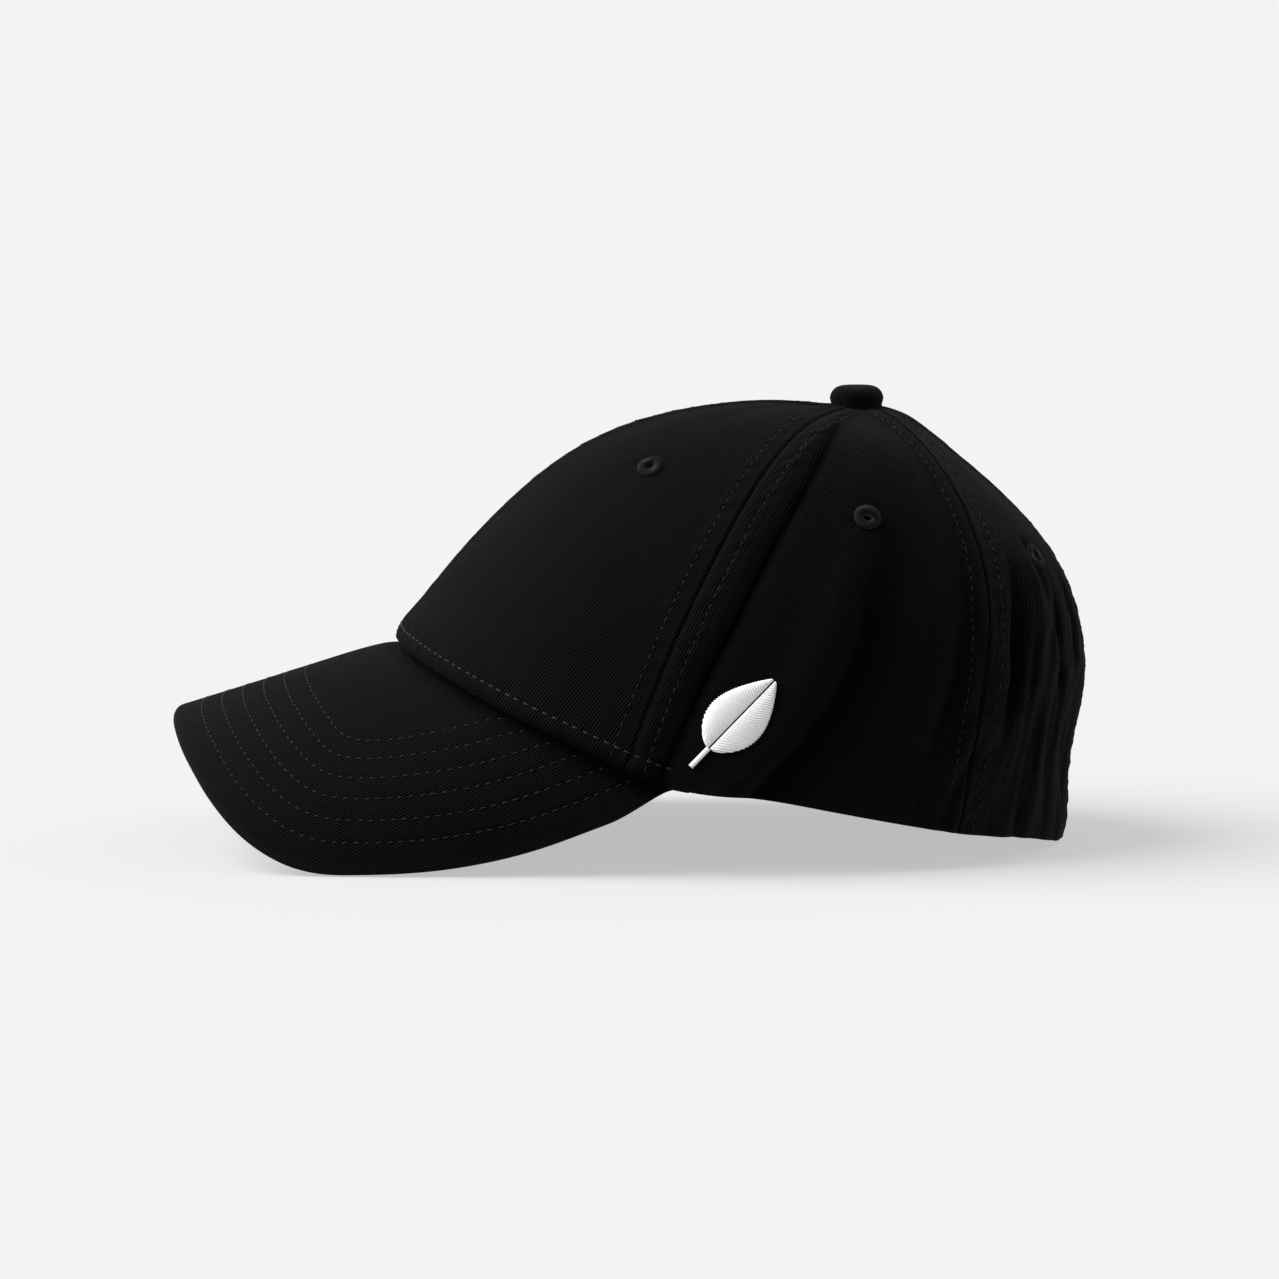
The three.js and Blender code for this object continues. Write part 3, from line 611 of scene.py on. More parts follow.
def stitches(name, middles, along, out, length, radius, material):
    """Short rounded strands. Each is a tube of six sides through seven stations, swollen in the
    middle, whose ends dive under the cloth: height falls with the square of the distance from
    the middle."""
    along, out = unit(along), unit(out)
    out = unit(out - along * (along * out).sum(-1, keepdims=True))
    sideways = np.cross(along, out)
    t = np.linspace(-1, 1, 7)
    swell = np.sqrt(1.02 - t**2) ** 0.7
    height = radius * (0.95 - 1.75 * t**2)
    turn = np.arange(6) * np.pi / 3
    centre = middles[:, None] + along[:, None] * (t * length / 2)[:, None]
    centre = centre + out[:, None] * height[:, None]
    ring = np.cos(turn)[:, None] * sideways[:, None, None]
    ring = ring + np.sin(turn)[:, None] * out[:, None, None] * 0.8
    points = (centre[:, :, None] + ring * (radius * swell)[None, :, None, None]).reshape(-1, 3)
    i, j = np.meshgrid(np.arange(6), np.arange(6), indexing="ij")
    k = (j + 1) % 6
    quads = np.stack([i * 6 + j, i * 6 + 6 + j, i * 6 + 6 + k, i * 6 + k], -1).reshape(-1, 4)
    base = np.arange(len(middles))[:, None, None] * 42
    faces = (quads + base).reshape(-1, 4).tolist()
    faces += (np.arange(6) + base).reshape(-1, 6).tolist()
    faces += (np.arange(36, 42)[::-1] + base).reshape(-1, 6).tolist()
    return piece(name, points, faces, material)


def spaced(line, pitch, wander):
    """Shares of a line's length, one for each stitch, with a slight repeatable unevenness."""
    length = np.append(0, np.cumsum(np.linalg.norm(np.diff(line, axis=0), axis=1)))
    count = max(int(length[-1] / pitch), 1)
    at = (np.arange(count) + 0.5) * length[-1] / count
    at += wander * np.sin(np.arange(count) * 2.4)
    return at, length


def crown_row(azimuth, arc, pitch):
    """Stitch middles, directions and outward normals along a line on the crown."""
    line = on_crown(azimuth, arc, 0)
    at, length = spaced(line, pitch, 0.12)
    a, r = np.interp(at, length, azimuth), np.interp(at, length, arc)
    ahead = [np.interp(at + 0.4, length, azimuth), np.interp(at + 0.4, length, arc)]
    middles = on_crown(a, r, 0)
    return middles, on_crown(*ahead, 0) - middles, crown_normal(a, r)


def joined(rows):
    return [np.vstack(part) for part in zip(*rows)]


seam_rows = {"front": (0, [1]), "front_side": (front_seam, [1, -1]),
             "back_side": (back_seam, [1, -1]), "back": (180, [-1])}
row_arcs = np.linspace(0.085, 0.993, 200)
for name, (seam, ways) in seam_rows.items():
    for word, sign in (("left", 1), ("right", -1)):
        rows = [crown_row(sign * (seam + way * row_offset / degree(row_arcs)), row_arcs, 2.9)
                for way in ways]
        made = stitches(f"{name}_seam_stitches_{word}", *joined(rows), 1.8, 0.2, seam_thread)
        rides_or_flexes(made, name in ("back_side", "back"))
row_turns = np.linspace(-73.5, 73.5, 500)
row_arc = 1 - edge_row / arc_length + 0 * row_turns
flexes(stitches("front_edge_stitches", *crown_row(row_turns, row_arc, 3.3), 2.2, 0.25, edge_thread))


# ---- Eyelets ----
# Six holes worked round with closely set satin stitches of dark grey thread, which stand
# about a millimetre proud and turn down through the hole.
eyelet_thread = thread("eyelet_thread", (0.0003, 0.0003, 0.0004, 1),
                       (0.0085, 0.0083, 0.0108, 1), 0.5)
# Radius and height in mm, from inside the hole up over the rim and back under it.
eyelet_section = np.array([
    [1.25, -1.3], [1.2, -0.6], [1.22, 0.0], [1.32, 0.42], [1.6, 0.78], [2.05, 0.98], [2.6, 1.03],
    [3.15, 0.92], [3.6, 0.66], [3.88, 0.32], [3.95, 0.0], [3.6, -0.25], [2.6, -0.3], [1.8, -0.5],
    [1.6, -1.3]])
eyelet_stitches = 46
for place, (spot, spot_arc) in eyelet_places.items():
    for word, sign in (("left", 1), ("right", -1)):
        turn = np.linspace(0, 2 * np.pi, eyelet_stitches * 5, endpoint=False)[:, None]
        ribs = 0.5 + 0.5 * np.cos(turn * eyelet_stitches)
        uneven = 0.5 + 0.5 * np.sin(turn * 7 + spot) * np.sin(turn * 11 + 1)
        radius, height = eyelet_section.T
        top = step((height + 0.2) / 0.5)
        rough = 0.10 * (ribs - 0.5) + 0.10 * (uneven - 0.5)
        radius = radius + top * (radius > 1.5) * rough * step((radius - 2) / 1.5)
        height = height + top * (0.26 * ribs - 0.20) + top * 0.12 * (uneven - 0.5)
        normal = crown_normal(spot * sign, spot_arc)
        right = unit(np.cross([0, 0, 1.0], normal))
        up = np.cross(normal, right)
        around = np.cos(turn)[..., None] * right + np.sin(turn)[..., None] * up
        points = radius[..., None] * around + height[..., None] * normal
        points = points + on_crown(spot * sign, spot_arc, 0.22)
        rows, cols = points.shape[:2]
        i, j = np.meshgrid(np.arange(rows), np.arange(cols), indexing="ij")
        beside, after = (j + 1) % cols, (i + 1) % rows * cols
        quads = np.stack([i * cols + j, i * cols + beside, after + beside, after + j], -1)
        made = piece(f"{place}_eyelet_{word}_thread", points.reshape(-1, 3), quads.reshape(-1, 4),
                     eyelet_thread)
        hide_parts(f"{place}_eyelet_{word}")
        rides_or_flexes(made, place == "back")


# ---- Button ----
# A metal shell covered in the panels' twill, which is pleated under the rim. Its shank goes
# through the apex and is riveted over a pronged washer inside.
low, high = (np.array(corner) * 1000 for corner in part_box("button_cover"))
button_radius, button_height = (high - low)[0] / 2, (high - low)[2]
button_middle = np.array([(low[0] + high[0]) / 2, (low[1] + high[1]) / 2, low[2]])
button_twill = twill("button_twill", np.radians(50))


def button_surface(shrink, pleats):
    """A dome turned about the upright axis: the radius shrinks by a power of the cosine and
    the height grows with the sine, with pleats that fade out above the rim. The cloth's
    threads are laid out by the distance from the top."""
    turn = np.linspace(0, 2 * np.pi, 144, endpoint=False)[:, None]
    rise = np.radians(np.concatenate([np.linspace(0, 84, 22), [86.5, 88.5, 89.6, 90]]))
    skirt = np.linspace(-2.2, -0.15, 7)
    radius = (button_radius - shrink) * np.append(1 + 0 * skirt, np.cos(rise) ** 0.50)
    height = np.append(skirt, (button_height - shrink) * np.sin(rise) ** 0.80)
    from_top = np.append(np.cumsum(np.hypot(np.diff(radius), np.diff(height))[::-1])[::-1], 0)
    neck = step((1.9 - height) / 2.2)
    folds = pleats * 0.07 * neck * np.sin(turn * 19 + 2 * np.sin(turn * 3))
    radius = radius * (1 - 0.075 * neck) + folds
    height = height + 0 * turn
    place = np.stack([radius * np.cos(turn), radius * np.sin(turn), height], -1)
    flat = np.stack([np.cos(turn) * from_top, np.sin(turn) * from_top], -1)
    return np.swapaxes(button_middle + place, 0, 1), np.swapaxes(flat, 0, 1)


outer, flat = button_surface(0, 1)
inner, _ = button_surface(0.6, 0)
points, quads, where = slab(outer, inner, ring=True)
made = piece("button_cloth", points, quads, button_twill,
             flat.reshape(-1, 2)[where], np.full(len(where), 0.25))
closed = bmesh.new()  # all the points of the last row are the pole, so they become one
closed.from_mesh(made.data)
bmesh.ops.remove_doubles(closed, verts=closed.verts, dist=1e-7)
closed.to_mesh(made.data)
closed.free()
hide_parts("button_cover")
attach(made, "crown")

wire, shader, stamped_metal = new_material("stamped_metal", {"Metallic": 1.0, "Roughness": 0.35})
place = wire.node("TexCoord", None, None, 3)
scuffs = place.noise(900.0, 4.0)
grime = place.noise(140.0, 3.0)
feed(wire, shader, (scuffs * 0.5 + grime * 0.5).mix((0.30, 0.30, 0.31, 1), (0.62, 0.62, 0.63, 1)),
     0.28 + grime * 0.25 + scuffs * 0.1, scuffs, 0.03)
for name in ("button_shell", "button_washer"):
    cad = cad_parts[name]
    cad.data.materials.clear()
    cad.data.materials.append(stamped_metal)


# ---- Leaf on the side panel ----
# A raised leaf in white embroidery thread: two halves of slanting satin stitches that meet at
# the midrib, and a narrow stem.
leaf_middle = (82.7, 0.861)
leaf_length, leaf_lean = 25.0, np.radians(28)
white_thread = thread("white_thread", (0.66, 0.66, 0.65, 1), (0.93, 0.93, 0.92, 1), 0.30)


def on_leaf(share, sideways, height):
    """A place by its share of the leaf's length, its distance from the midrib and its height."""
    spot, spot_arc = leaf_middle
    round_ = np.linalg.norm(crown_point(spot + 0.5, spot_arc) - crown_point(spot - 0.5, spot_arc))
    down = crown_point(spot, spot_arc + 0.005) - crown_point(spot, spot_arc - 0.005)
    down = np.linalg.norm(down) / 0.01
    along = (share - 0.5) * leaf_length
    rearward = along * np.sin(leaf_lean) + sideways * np.cos(leaf_lean)
    up = along * np.cos(leaf_lean) - sideways * np.sin(leaf_lean)
    return on_crown(spot + rearward / round_, spot_arc - up / down, -height)


def satin(name, share, sideways, puff, rib_run, node):
    """A cushion of side-by-side stitches. The outline is notched by each stitch's end."""
    rib = 0.5 + 0.5 * np.cos(2 * np.pi * rib_run)
    sideways = sideways * (1 + 0.04 * rib)
    outer = on_leaf(share, sideways, 0.15 + puff * (0.66 + 0.34 * rib))
    points, quads, _ = slab(outer, on_leaf(share, sideways, -0.1))
    made = piece(name, points, quads, white_thread)
    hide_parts(node)
    return flexes(made)


stitch_gap = 0.80
across, share = np.meshgrid(np.linspace(0, 1, 15), np.linspace(0.004, 0.996, 330))
blade = 0.4 + 7.4 * np.sin(np.pi * share**0.75) ** 0.9
sideways = 0.22 + (blade + 0.23) * across
puff = np.sqrt(np.sin(np.pi * (0.04 + 0.92 * across))) * step(share / 0.05) ** 0.5
run = (share * leaf_length - 0.55 * sideways) / stitch_gap
for word, sign in (("front", -1), ("back", 1)):
    satin(f"leaf_blade_{word}_thread", share, sign * sideways, puff, run, f"leaf_blade_{word}")
across, share = np.meshgrid(np.linspace(-1, 1, 11), np.linspace(-0.26, 0.0, 90))
satin("leaf_stem_thread", share, across * 0.72, 0.85 * np.sqrt(1 - (across * 0.97) ** 2),
      share * leaf_length / stitch_gap, "leaf_stem")


# ---- Stiff lining ----
# Two pieces of open-weave cotton stiffened with glue, sewn in behind the front panels so that
# they stand up. They stop short of the seams, the button and the edge.
wire, shader, stiff_cotton = new_material("stiff_cotton", {
    "Roughness": 0.8, "Specular IOR Level": 0.3})
place = wire.node("UVMap", {"uv_map": "Cloth"})
warp, weft, _ = place.parts()
mesh_of_threads = wire.math("MAXIMUM", (warp * 0.9).wave() ** 2.0, (weft * 0.9).wave() ** 2.0)
fibres = place.noise(3.0, 3.0)
tone = mesh_of_threads * 0.8 + fibres * 0.3
feed(wire, shader, tone.mix((0.004, 0.004, 0.0045, 1), (0.045, 0.045, 0.048, 1)),
     0.9 - mesh_of_threads * 0.2, mesh_of_threads + fibres * 0.3, 0.3)
lining_arcs = np.linspace(0.12, 0.983, 90)
spot, spot_arc = eyelet_places["front"]
for word, sign in (("left", 1), ("right", -1)):
    azimuths = sign * np.linspace(0.8, 56.0, 56)
    outer, inner, keep, flat, _, _ = crown_sheet(
        azimuths, lining_arcs, 1.1, 1.6, [(spot * sign, spot_arc)], hem=False)
    points, quads, where = slab(outer, inner, keep)
    made = piece(f"front_lining_{word}", points, quads, stiff_cotton, flat[where])
    cut = grid_area(crown_point(*np.meshgrid(azimuths, lining_arcs)))
    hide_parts(f"front_buckram_{word}")
    flexes(made)


# ---- Seam tapes ----
# Narrow bias tape, folded under at both edges and stitched down each side, covers the raw
# edges of every seam inside. One more runs low round the front, over the brim's allowance.
def ribbed(name, dark, light, pitch, rough=0.7):
    """Ribbon cloth: fine ribs across its length, crossed by finer threads."""
    wire, shader, made = new_material(name, {
        "Roughness": rough, "Specular IOR Level": 0.35,
        "Sheen Weight": 0.15, "Sheen Roughness": 0.4})
    place = wire.node("UVMap", {"uv_map": "Cloth"})
    u, v, _ = place.parts()
    rib = (v / pitch).wave()
    cross = (u / (pitch * 0.6) + v / (pitch * 2)).wave()
    fuzz = place.noise(2.2, 3.0)
    tone = rib * 0.4 + cross * 0.2 + fuzz * 0.45
    feed(wire, shader, tone.mix(dark, light), rough + 0.1 - rib * 0.1,
         rib * 0.7 + cross * 0.3 + fuzz * 0.3, 0.22)
    return made


tape_cloth = ribbed("tape_cloth", (0.007, 0.007, 0.0075, 1), (0.026, 0.026, 0.028, 1), 0.6)
tape_width = 15.0
tape_back, tape_face = 2.3, 2.8  # depths under the outside of the crown
tape_arcs = np.linspace(0.12, 0.935, 130)
half_across = np.array([0.3, 0.6, 0.8, 0.88, 0.95, 0.985, 1])
tape_across = np.concatenate([-half_across[::-1], [0], half_across])
tapes = {"front_seam_tape": 0, "back_seam_tape": 180, "front_side_seam_tape_left": front_seam,
         "front_side_seam_tape_right": -front_seam, "back_side_seam_tape_left": back_seam,
         "back_side_seam_tape_right": -back_seam}
for name, seam in tapes.items():
    across, arc = np.meshgrid(tape_across, tape_arcs)
    azimuth = seam + across * tape_width / 2 / np.maximum(degree(arc), 0.45)
    fold = 0.25 * (1 - np.sqrt(1 - np.clip((np.abs(across) - 0.93) / 0.07, 0, 1) ** 2))
    ripple = 0.10 * np.sin(arc * 120 + seam) * np.abs(across) ** 3
    inner = inside_crown(azimuth, arc, tape_face - 0.05 - fold + ripple)
    outer = inside_crown(azimuth, arc, tape_back + ripple)
    flat = np.stack([across * tape_width / 2, arc * arc_length], -1).reshape(-1, 2)
    points, quads, where = slab(outer, inner)
    made = piece(f"{name}_cloth", points, quads, tape_cloth, flat[where])
    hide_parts(name)
    rows = []
    for way in (-0.8, 0.8):
        row = np.linspace(0.13, 0.925, 160)
        line = seam + way * tape_width / 2 / np.maximum(degree(row), 0.45)
        at, length = spaced(inside_crown(line, row, tape_face), 3.0, 0.1)
        a, r = np.interp(at, length, line), np.interp(at, length, row)
        middles = inside_crown(a, r, tape_face)
        along = inside_crown(a, r + 0.002, tape_face) - middles
        rows.append((middles, along, -crown_normal(a, r)))
    sewn = stitches(f"{name}_stitches", *joined(rows), 2.2, 0.2, seam_thread)
    for part in (made, sewn):
        rides_or_flexes(part, abs(seam) > 100)

low_arcs = np.array([0.940, 0.942, 0.95, 0.96, 0.97, 0.98, 0.984])
azimuth, arc = np.meshgrid(np.linspace(-69.3, 69.3, 160), low_arcs)
ripple = 0.08 * np.sin(azimuth * 0.9) * (arc < 0.95)
points, quads, where = slab(inside_crown(azimuth, arc, tape_back + ripple),
                            inside_crown(azimuth, arc, tape_face + ripple))
flat = np.stack([arc * arc_length, azimuth * degree(1.0)], -1).reshape(-1, 2)
made = piece("brim_seam_tape_cloth", points, quads, tape_cloth, flat[where])
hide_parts("brim_seam_tape")
flexes(made)


# ---- Sweatband ----
# A band of soft cotton with a thin padding, folded up inside the edge all round and bound at
# its top. Its lower edge is sewn in with the hem, and two blank labels hang on it at the back.
band_cotton = ribbed("band_cotton", (0.006, 0.006, 0.0065, 1), (0.021, 0.0205, 0.0215, 1),
                     0.75, 0.8)
round_turns = np.linspace(-180, 180, 361)[:-1]
band_round = 2 * np.pi * 88.0


def band_ring(name, node, arcs, outer_depth, inner_depth, material):
    """A closed ring under the crown between two depths, given for each arc."""
    azimuth, arc = np.meshgrid(round_turns, arcs)
    outer = inside_crown(azimuth, arc, outer_depth[:, None])
    inner = inside_crown(azimuth, arc, inner_depth[:, None])
    flat = np.stack([(azimuth + 180) / 360 * band_round, arc * arc_length], -1).reshape(-1, 2)
    points, quads, where = slab(outer, inner, ring=True)
    made = piece(name, points, quads, material, flat[where], period=band_round)
    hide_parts(node)
    return flexes(made)


band_arcs = np.array([0.82, 0.8225, 0.83, 0.845, 0.865, 0.885, 0.905, 0.925, 0.94, 0.955,
                      0.97, 0.98, 0.987, 0.991, 0.994])
swell = np.sin(np.pi * np.clip((band_arcs - 0.82) / 0.174, 0, 1)) ** 0.6
band = band_ring("sweatband_cloth", "sweatband", band_arcs, 3.25 + 0 * swell, 3.9 + 0.5 * swell,
                 band_cotton)
edging_arcs = np.array([0.7985, 0.7995, 0.802, 0.806, 0.812, 0.8160, 0.8180])
bead = np.sqrt(np.clip(1 - ((edging_arcs - 0.80825) / 0.0098) ** 2, 0, 1))
edging = band_ring("sweatband_edging_cloth", "sweatband_edging", edging_arcs,
                   3.75 - 0.7 * bead, 3.85 + 0.7 * bead, tape_cloth)
band_rows = {"sweatband_upper_stitches": (0.8235, 4.0, 2.8),
             "sweatband_lower_stitches": (0.984, 4.2, 3.2)}
for name, (arc, depth, pitch) in band_rows.items():
    line = inside_crown(round_turns, arc + 0 * round_turns, depth)
    at, length = spaced(line, pitch, 0.1)
    a = np.interp(at, length, round_turns)
    middles = inside_crown(a, arc, depth)
    flexes(stitches(name, middles, inside_crown(a + 0.3, arc, depth) - middles,
                    -crown_normal(a, arc), 2.1, 0.2, seam_thread))

label_satin = ribbed("label_satin", (0.52, 0.52, 0.50, 1), (0.74, 0.74, 0.72, 1), 0.3, 0.5)
# Azimuths and arcs that each label covers, and its cut width and length.
labels = {"size_label": (172, 188, 0.835, 0.93, 0.025, 0.016),
          "care_label": (146, 163, 0.85, 0.975, 0.027, 0.021)}
for name, (start, end, top, bottom, width, length) in labels.items():
    azimuth, arc = np.meshgrid(np.linspace(start, end, 40), np.linspace(top, bottom, 36))
    hang = (arc - top) / (bottom - top)
    curl = 0.35 * hang**2 * np.cos((azimuth - start) / (end - start) * 2 * np.pi) + 0.25 * hang
    outer = inside_crown(azimuth, arc, 4.95 + curl * 0.6)
    inner = inside_crown(azimuth, arc, 5.20 + curl * 0.6)
    flat = np.stack([azimuth * degree(0.9), arc * arc_length], -1).reshape(-1, 2)
    points, quads, where = slab(outer, inner)
    made = piece(f"{name}_cloth", points, quads, label_satin, flat[where])
    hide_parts(name)
    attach(made, "crown")


# ---- Brim ----
# A stiff plastic board between two twill covers, sewn through with six rows that follow its
# outline. It is bent to half an ellipse and sewn inside the crown's front edge.
brim_root = np.array([0, -68.1, 60.3])
brim_slope = np.radians(17.4)
half_width, section_depth = 80.0, 62.25
brim_end, brim_tuck, brim_drop = 74.0, 1.2, 0.55
half_outline = [[0, 71.2], [14, 70.8], [29.2, 69.2], [43.5, 66.9], [54.7, 64.4], [64.3, 61.9],
                [72.8, 59], [81, 55.3], [89, 50.1], [97, 42], [101, 35.2], [104.7, 24.8],
                [107.8, 13.9], [110.3, 2.9], [112.2, -10], [113, -26.6], [112.2, -42.2],
                [111, -57.7], [109.4, -67.9]]
outline = smooth_curve([[-a, b] for a, b in half_outline[:0:-1]] + half_outline)
forward = np.array([0, -np.cos(brim_slope), -np.sin(brim_slope)])
upward = np.array([0, -np.sin(brim_slope), np.cos(brim_slope)])
turns = np.radians(110) * np.arange(401) / 400
speeds = np.hypot(half_width * np.cos(turns), section_depth * np.sin(turns))
reach = np.append(0, np.cumsum((speeds[1:] + speeds[:-1]) / 2 * turns[1]))


def bent(flat):
    """A place on the flat brim, [across, ahead], bent to the ellipse and set on its slope:
    the distance across becomes a length along the ellipse."""
    turn = np.interp(np.abs(flat[..., 0]), reach, turns)[..., None]
    side = np.sign(flat[..., :1]) * half_width * np.sin(turn) * np.array([1.0, 0, 0])
    return brim_root + forward * flat[..., 1:] - upward * section_depth * (1 - np.cos(turn)) + side


def brim_normal(flat):
    """Upward from the bent sheet: square to the ellipse and to the straight slope."""
    turn = np.interp(np.abs(flat[..., 0]), reach, turns)[..., None]
    lean = np.sign(flat[..., :1]) * section_depth * np.sin(turn) * np.array([1.0, 0, 0])
    return unit(lean + half_width * np.cos(turn) * upward)


# The seam line: just inside and below the crown's edge, and its place on the flat brim.
stations = np.linspace(-1.06, 1.06, 637)
edge_turns = stations * brim_end
hem_rise = np.arctan2(edge_height(np.array(0.0)) - edge_height(np.array(brim_end)),
                      crown_point(brim_end, 1.0)[1] - crown_point(0.0, 1.0)[1])
flat_out = crown_normal(edge_turns, np.ones_like(stations)) * [1, 1, 0]
seam_line = (crown_point(edge_turns, 1.0) - unit(flat_out) * brim_tuck
             - np.array([0, np.sin(hem_rise), np.cos(hem_rise)]) * brim_drop)
seam_flat = np.stack([seam_line[:, 0], (seam_line - brim_root) @ forward], -1)
# Each place slides along the bend, by ever smaller strides, to where it lies nearest.
for stride in 32.0 / 2.0 ** np.arange(16):
    for way in (-stride, stride):
        moved = seam_flat + [way, 0]
        gap = np.linalg.norm(bent(seam_flat) - seam_line, axis=1)
        nearer = np.linalg.norm(bent(moved) - seam_line, axis=1) < gap
        seam_flat = np.where(nearer[:, None], moved, seam_flat)
seam_lift = seam_line - bent(seam_flat)
rim_flat = outline(0.5 + stations / 2)
rim_run = np.clip(0.5 + stations / 2, 0.002, 0.998)
rim_out = unit((outline(rim_run + 0.002) - outline(rim_run - 0.002))[:, ::-1] * [-1, 1])
# Towards its corners the brim tapers to nothing under the crown's edge.
pull = step((np.abs(stations) - 0.90) / 0.16)[:, None]
rim_flat = rim_flat + (seam_flat - rim_flat) * pull * 0.98
rim_radius = 1.4  # of the covers' rounded edge
brim_thickness = 3.4


def at_station(table, w):
    return np.stack([np.interp(w, stations, table[:, k]) for k in range(table.shape[1])], -1)


def brim_place(w, share, past=0.0):
    """A place on the flat brim: from the seam to the edge by its share, then past it in mm."""
    out = at_station(rim_out, w)
    thin_out = 1 - 0.85 * step((np.abs(w) - 0.93) / 0.13)[..., None]
    rim = at_station(rim_flat, w) - out * rim_radius * thin_out
    out = out * thin_out
    seam = at_station(seam_flat, w)
    return seam + (rim - seam) * np.asarray(share)[..., None] + out * np.asarray(past)[..., None]


row_first, row_gap, row_count = 9.0, 6.3, 6
rim_fine = outline(np.linspace(0, 1, 1601))
step_in = unit(np.stack([np.gradient(rim_fine[:, 1]), -np.gradient(rim_fine[:, 0])], -1))
seam_ahead = seam_flat[np.argsort(seam_flat[:, 0])]


def brim_row(inward):
    """A line at a distance inside the outline. Its corners are eased by averaging it over a
    length that grows with the distance, and it ends where it meets the crown."""
    line = rim_fine + step_in * inward
    reach_in = int(10 + inward * 3.3)
    padded = np.pad(line, ((reach_in, reach_in), (0, 0)), "edge")
    total = np.cumsum(np.vstack([np.zeros((1, 2)), padded]), axis=0)
    width = 2 * reach_in + 1
    line = (total[width:] - total[:-width]) / width
    inside = (line[:, 1] > np.interp(line[:, 0], *seam_ahead.T) + 1.0) & (np.abs(line[:, 0]) < 112)
    return line[inside]


brim_rows = [brim_row(row_first + k * row_gap) for k in range(row_count)]


def distance_to(flat, line):
    """Distance in mm from each place on the flat brim to the nearest point of a line."""
    return np.stack([
        np.hypot(row[:, :1] - line[:, 0], row[:, 1:] - line[:, 1]).min(-1) for row in flat])


def brim_relief(flat):
    """Sinks along the stitch rows, small puckers across them and a slow unevenness."""
    out = np.sin(flat[..., 0] * 0.06 + 1) * np.sin(flat[..., 1] * 0.09) * 0.12
    around = np.arctan2(flat[..., 0], flat[..., 1] + 60) * 100
    for k, line in enumerate(brim_rows):
        near = distance_to(flat, line[::2])
        pull = np.sin(around * 0.95 + k * 2.0) + 0.7 * np.sin(around * 0.57 + k * 3.1)
        out += -0.28 * bell(near / 0.6) + 0.05 * pull * bell(near / 2.4)
    return out


def seam_sink(far):
    """The cloth dips into the crease under the crown's edge: a bell of the seam's distance."""
    return 1.9 * bell(far / 3.3)


def brim_face(w, share, past, depth, ruffle):
    """A face of the brim at a depth under its top, with the seam's lift fading in 9 mm, and
    its share of the stitched relief."""
    flat = brim_place(w, share, past)
    far = np.linalg.norm(flat - at_station(seam_flat, w), axis=-1)
    lift = at_station(seam_lift, w) * bell(far / 9)[..., None]
    depth = depth * (1 - 0.75 * step((np.abs(w) - 0.92) / 0.14)) + seam_sink(far)
    rise = np.asarray(ruffle * brim_relief(flat) - depth)[..., None]
    return bent(flat) + lift + brim_normal(flat) * rise, flat


brim_ws = np.sin(np.linspace(-1, 1, 281) * np.pi / 2 * 0.86) / np.sin(np.pi / 2 * 0.86) * 1.05
brim_shares = np.linspace(0, 1, 62)
bend_angles = np.radians(np.linspace(0, 90, 8))[1:]
share_path = np.append(brim_shares, np.ones(8))
cover_thickness = 0.5


def over_edge(radius, depth):
    """Distances past the outline and depths of one face of a cover: flat as far as the rim,
    then a quarter circle, then straight down to where the two covers nearly meet."""
    sunk = radius * (1 - np.cos(bend_angles))
    past = np.concatenate([0 * brim_shares, radius * np.sin(bend_angles), [radius]])
    drop = depth + np.concatenate([0 * brim_shares, sunk, [brim_thickness / 2 - 0.03 - depth]])
    return np.stack([past, drop])[..., None]


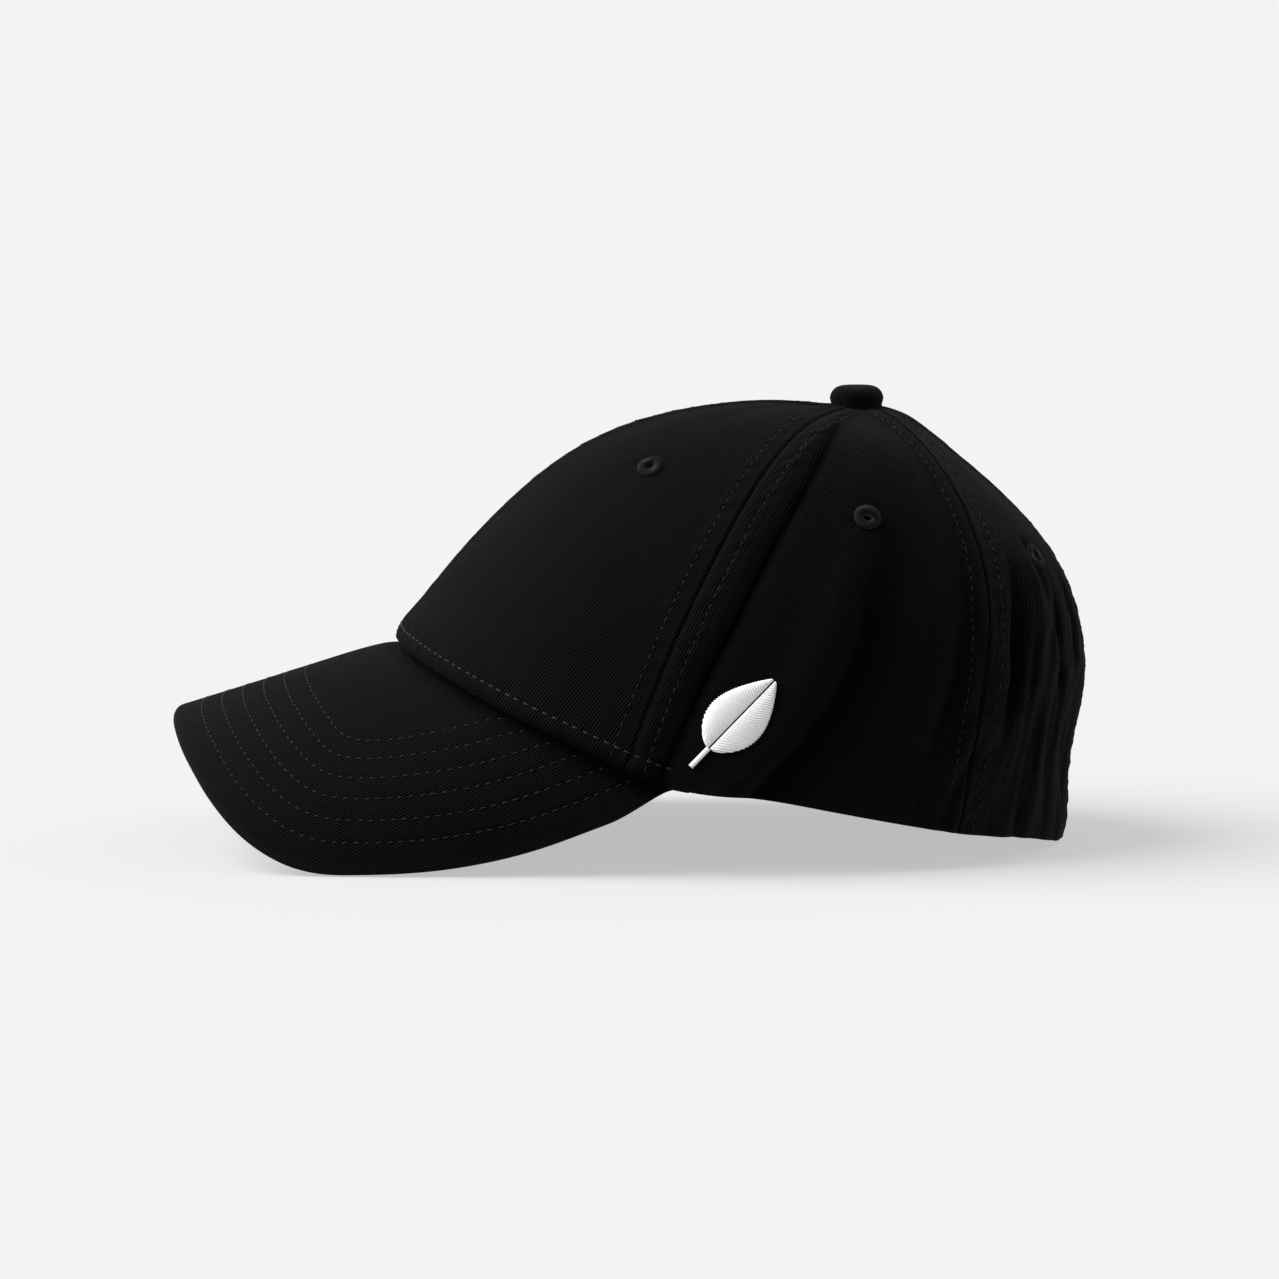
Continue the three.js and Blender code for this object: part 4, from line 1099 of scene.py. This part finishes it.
brim_twill = twill("brim_twill", np.radians(77), light=(0.0068, 0.0050, 0.0050, 1))
brim_covers = [("brim_top_cloth", "brim_top_cover", False),
               ("brim_under_cloth", "brim_under_cover", True)]
for name, node, under in brim_covers:
    w, share = np.meshgrid(brim_ws, share_path)
    past, drop = over_edge(rim_radius, 0) + 0 * w
    past_in, drop_in = over_edge(rim_radius - cover_thickness, cover_thickness) + 0 * w
    if under:
        drop, drop_in = brim_thickness - drop, brim_thickness - drop_in
    ruffle = -0.6 if under else 1.0
    outer, flat = brim_face(w, share, past, drop, ruffle)
    inner, _ = brim_face(w, share, past_in, drop_in, ruffle)
    if not under:
        # The cover's allowance turns up inside the crown's edge.
        rise = np.array([2.2, 1.6, 1.0, 0.4])[:, None]
        turned = brim_ws[None] * brim_end
        up_outer = inside_crown(turned, 1 - rise / arc_length, 1.0 + 0 * rise)
        up_inner = inside_crown(turned, 1 - rise / arc_length, 1.5 + 0 * rise)
        outer, inner = np.vstack([up_outer, outer]), np.vstack([up_inner, inner])
        tail = flat[:1] - np.array([0, 1.0]) * (rise[..., None] + 0.6)
        flat, drop = np.vstack([tail, flat]), np.vstack([0 * rise + 0 * turned, drop])
    far = distance_to(flat, rim_fine[::4])
    # The rim is rubbed pale. Painted shade darkens the brim along its seam, in the crease under the
    # crown's edge.
    rubbing_and_painted_shade = 0.8 * bell(far / 1.8) + 0.2 * bell(far / 16)
    rubbing_and_painted_shade -= 2.2 * bell(distance_to(flat, seam_flat[::3]) / 3.6)
    flat = flat + np.stack([0 * far, -drop], -1)
    points, quads, where = slab(outer, inner)
    made = piece(name, points, quads, brim_twill,
                 flat.reshape(-1, 2)[where], rubbing_and_painted_shade.ravel()[where])
    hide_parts(node)
    flexes(made)

wire, shader, board_plastic = new_material("board_plastic", {
    "Roughness": 0.5, "Specular IOR Level": 0.45})
place = wire.node("TexCoord", None, None, 3)
flow = place.noise(60.0, 4.0)
grain = place.noise(1500.0, 3.0)
tone = flow * 0.7 + grain * 0.3
feed(wire, shader, tone.mix((0.58, 0.58, 0.56, 1), (0.70, 0.70, 0.68, 1)),
     0.42 + grain * 0.2, flow + grain * 0.4, 0.06)
w, share = np.meshgrid(np.linspace(-0.9, 0.9, 121), np.linspace(0.01, 0.99, 30))
outer, _ = brim_face(w, share, 0 * share, 0.85, 0)
inner, _ = brim_face(w, share, 0 * share, 2.5, 0)
points, quads, _ = slab(outer, inner)
board = piece("brim_board_sheet", points, quads, board_plastic)
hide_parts("brim_board")
flexes(board)

# The rows go through both covers and the board.
for word, way, depth in (("top", 1, 0.0), ("under", -1, brim_thickness)):
    rows = []
    for line in brim_rows:
        at, length = spaced(line, 3.15, 0.12)
        middle = np.stack([np.interp(at, length, line[:, c]) for c in (0, 1)], -1)
        ahead = np.stack([np.interp(at + 0.4, length, line[:, c]) for c in (0, 1)], -1)
        near = np.linalg.norm(middle[:, None] - seam_flat[None], axis=-1)
        lift = seam_lift[near.argmin(1)] * bell(near.min(1) / 9)[:, None]
        out = brim_normal(middle)
        sunk = (-0.2 if way > 0 else 0.1) - seam_sink(near.min(1))[:, None]
        place = bent(middle) + lift + out * (sunk - depth)
        rows.append((place, bent(ahead) - bent(middle), out * way))
    flexes(stitches(f"brim_{word}_stitches", *joined(rows), 1.9, 0.21, row_thread))
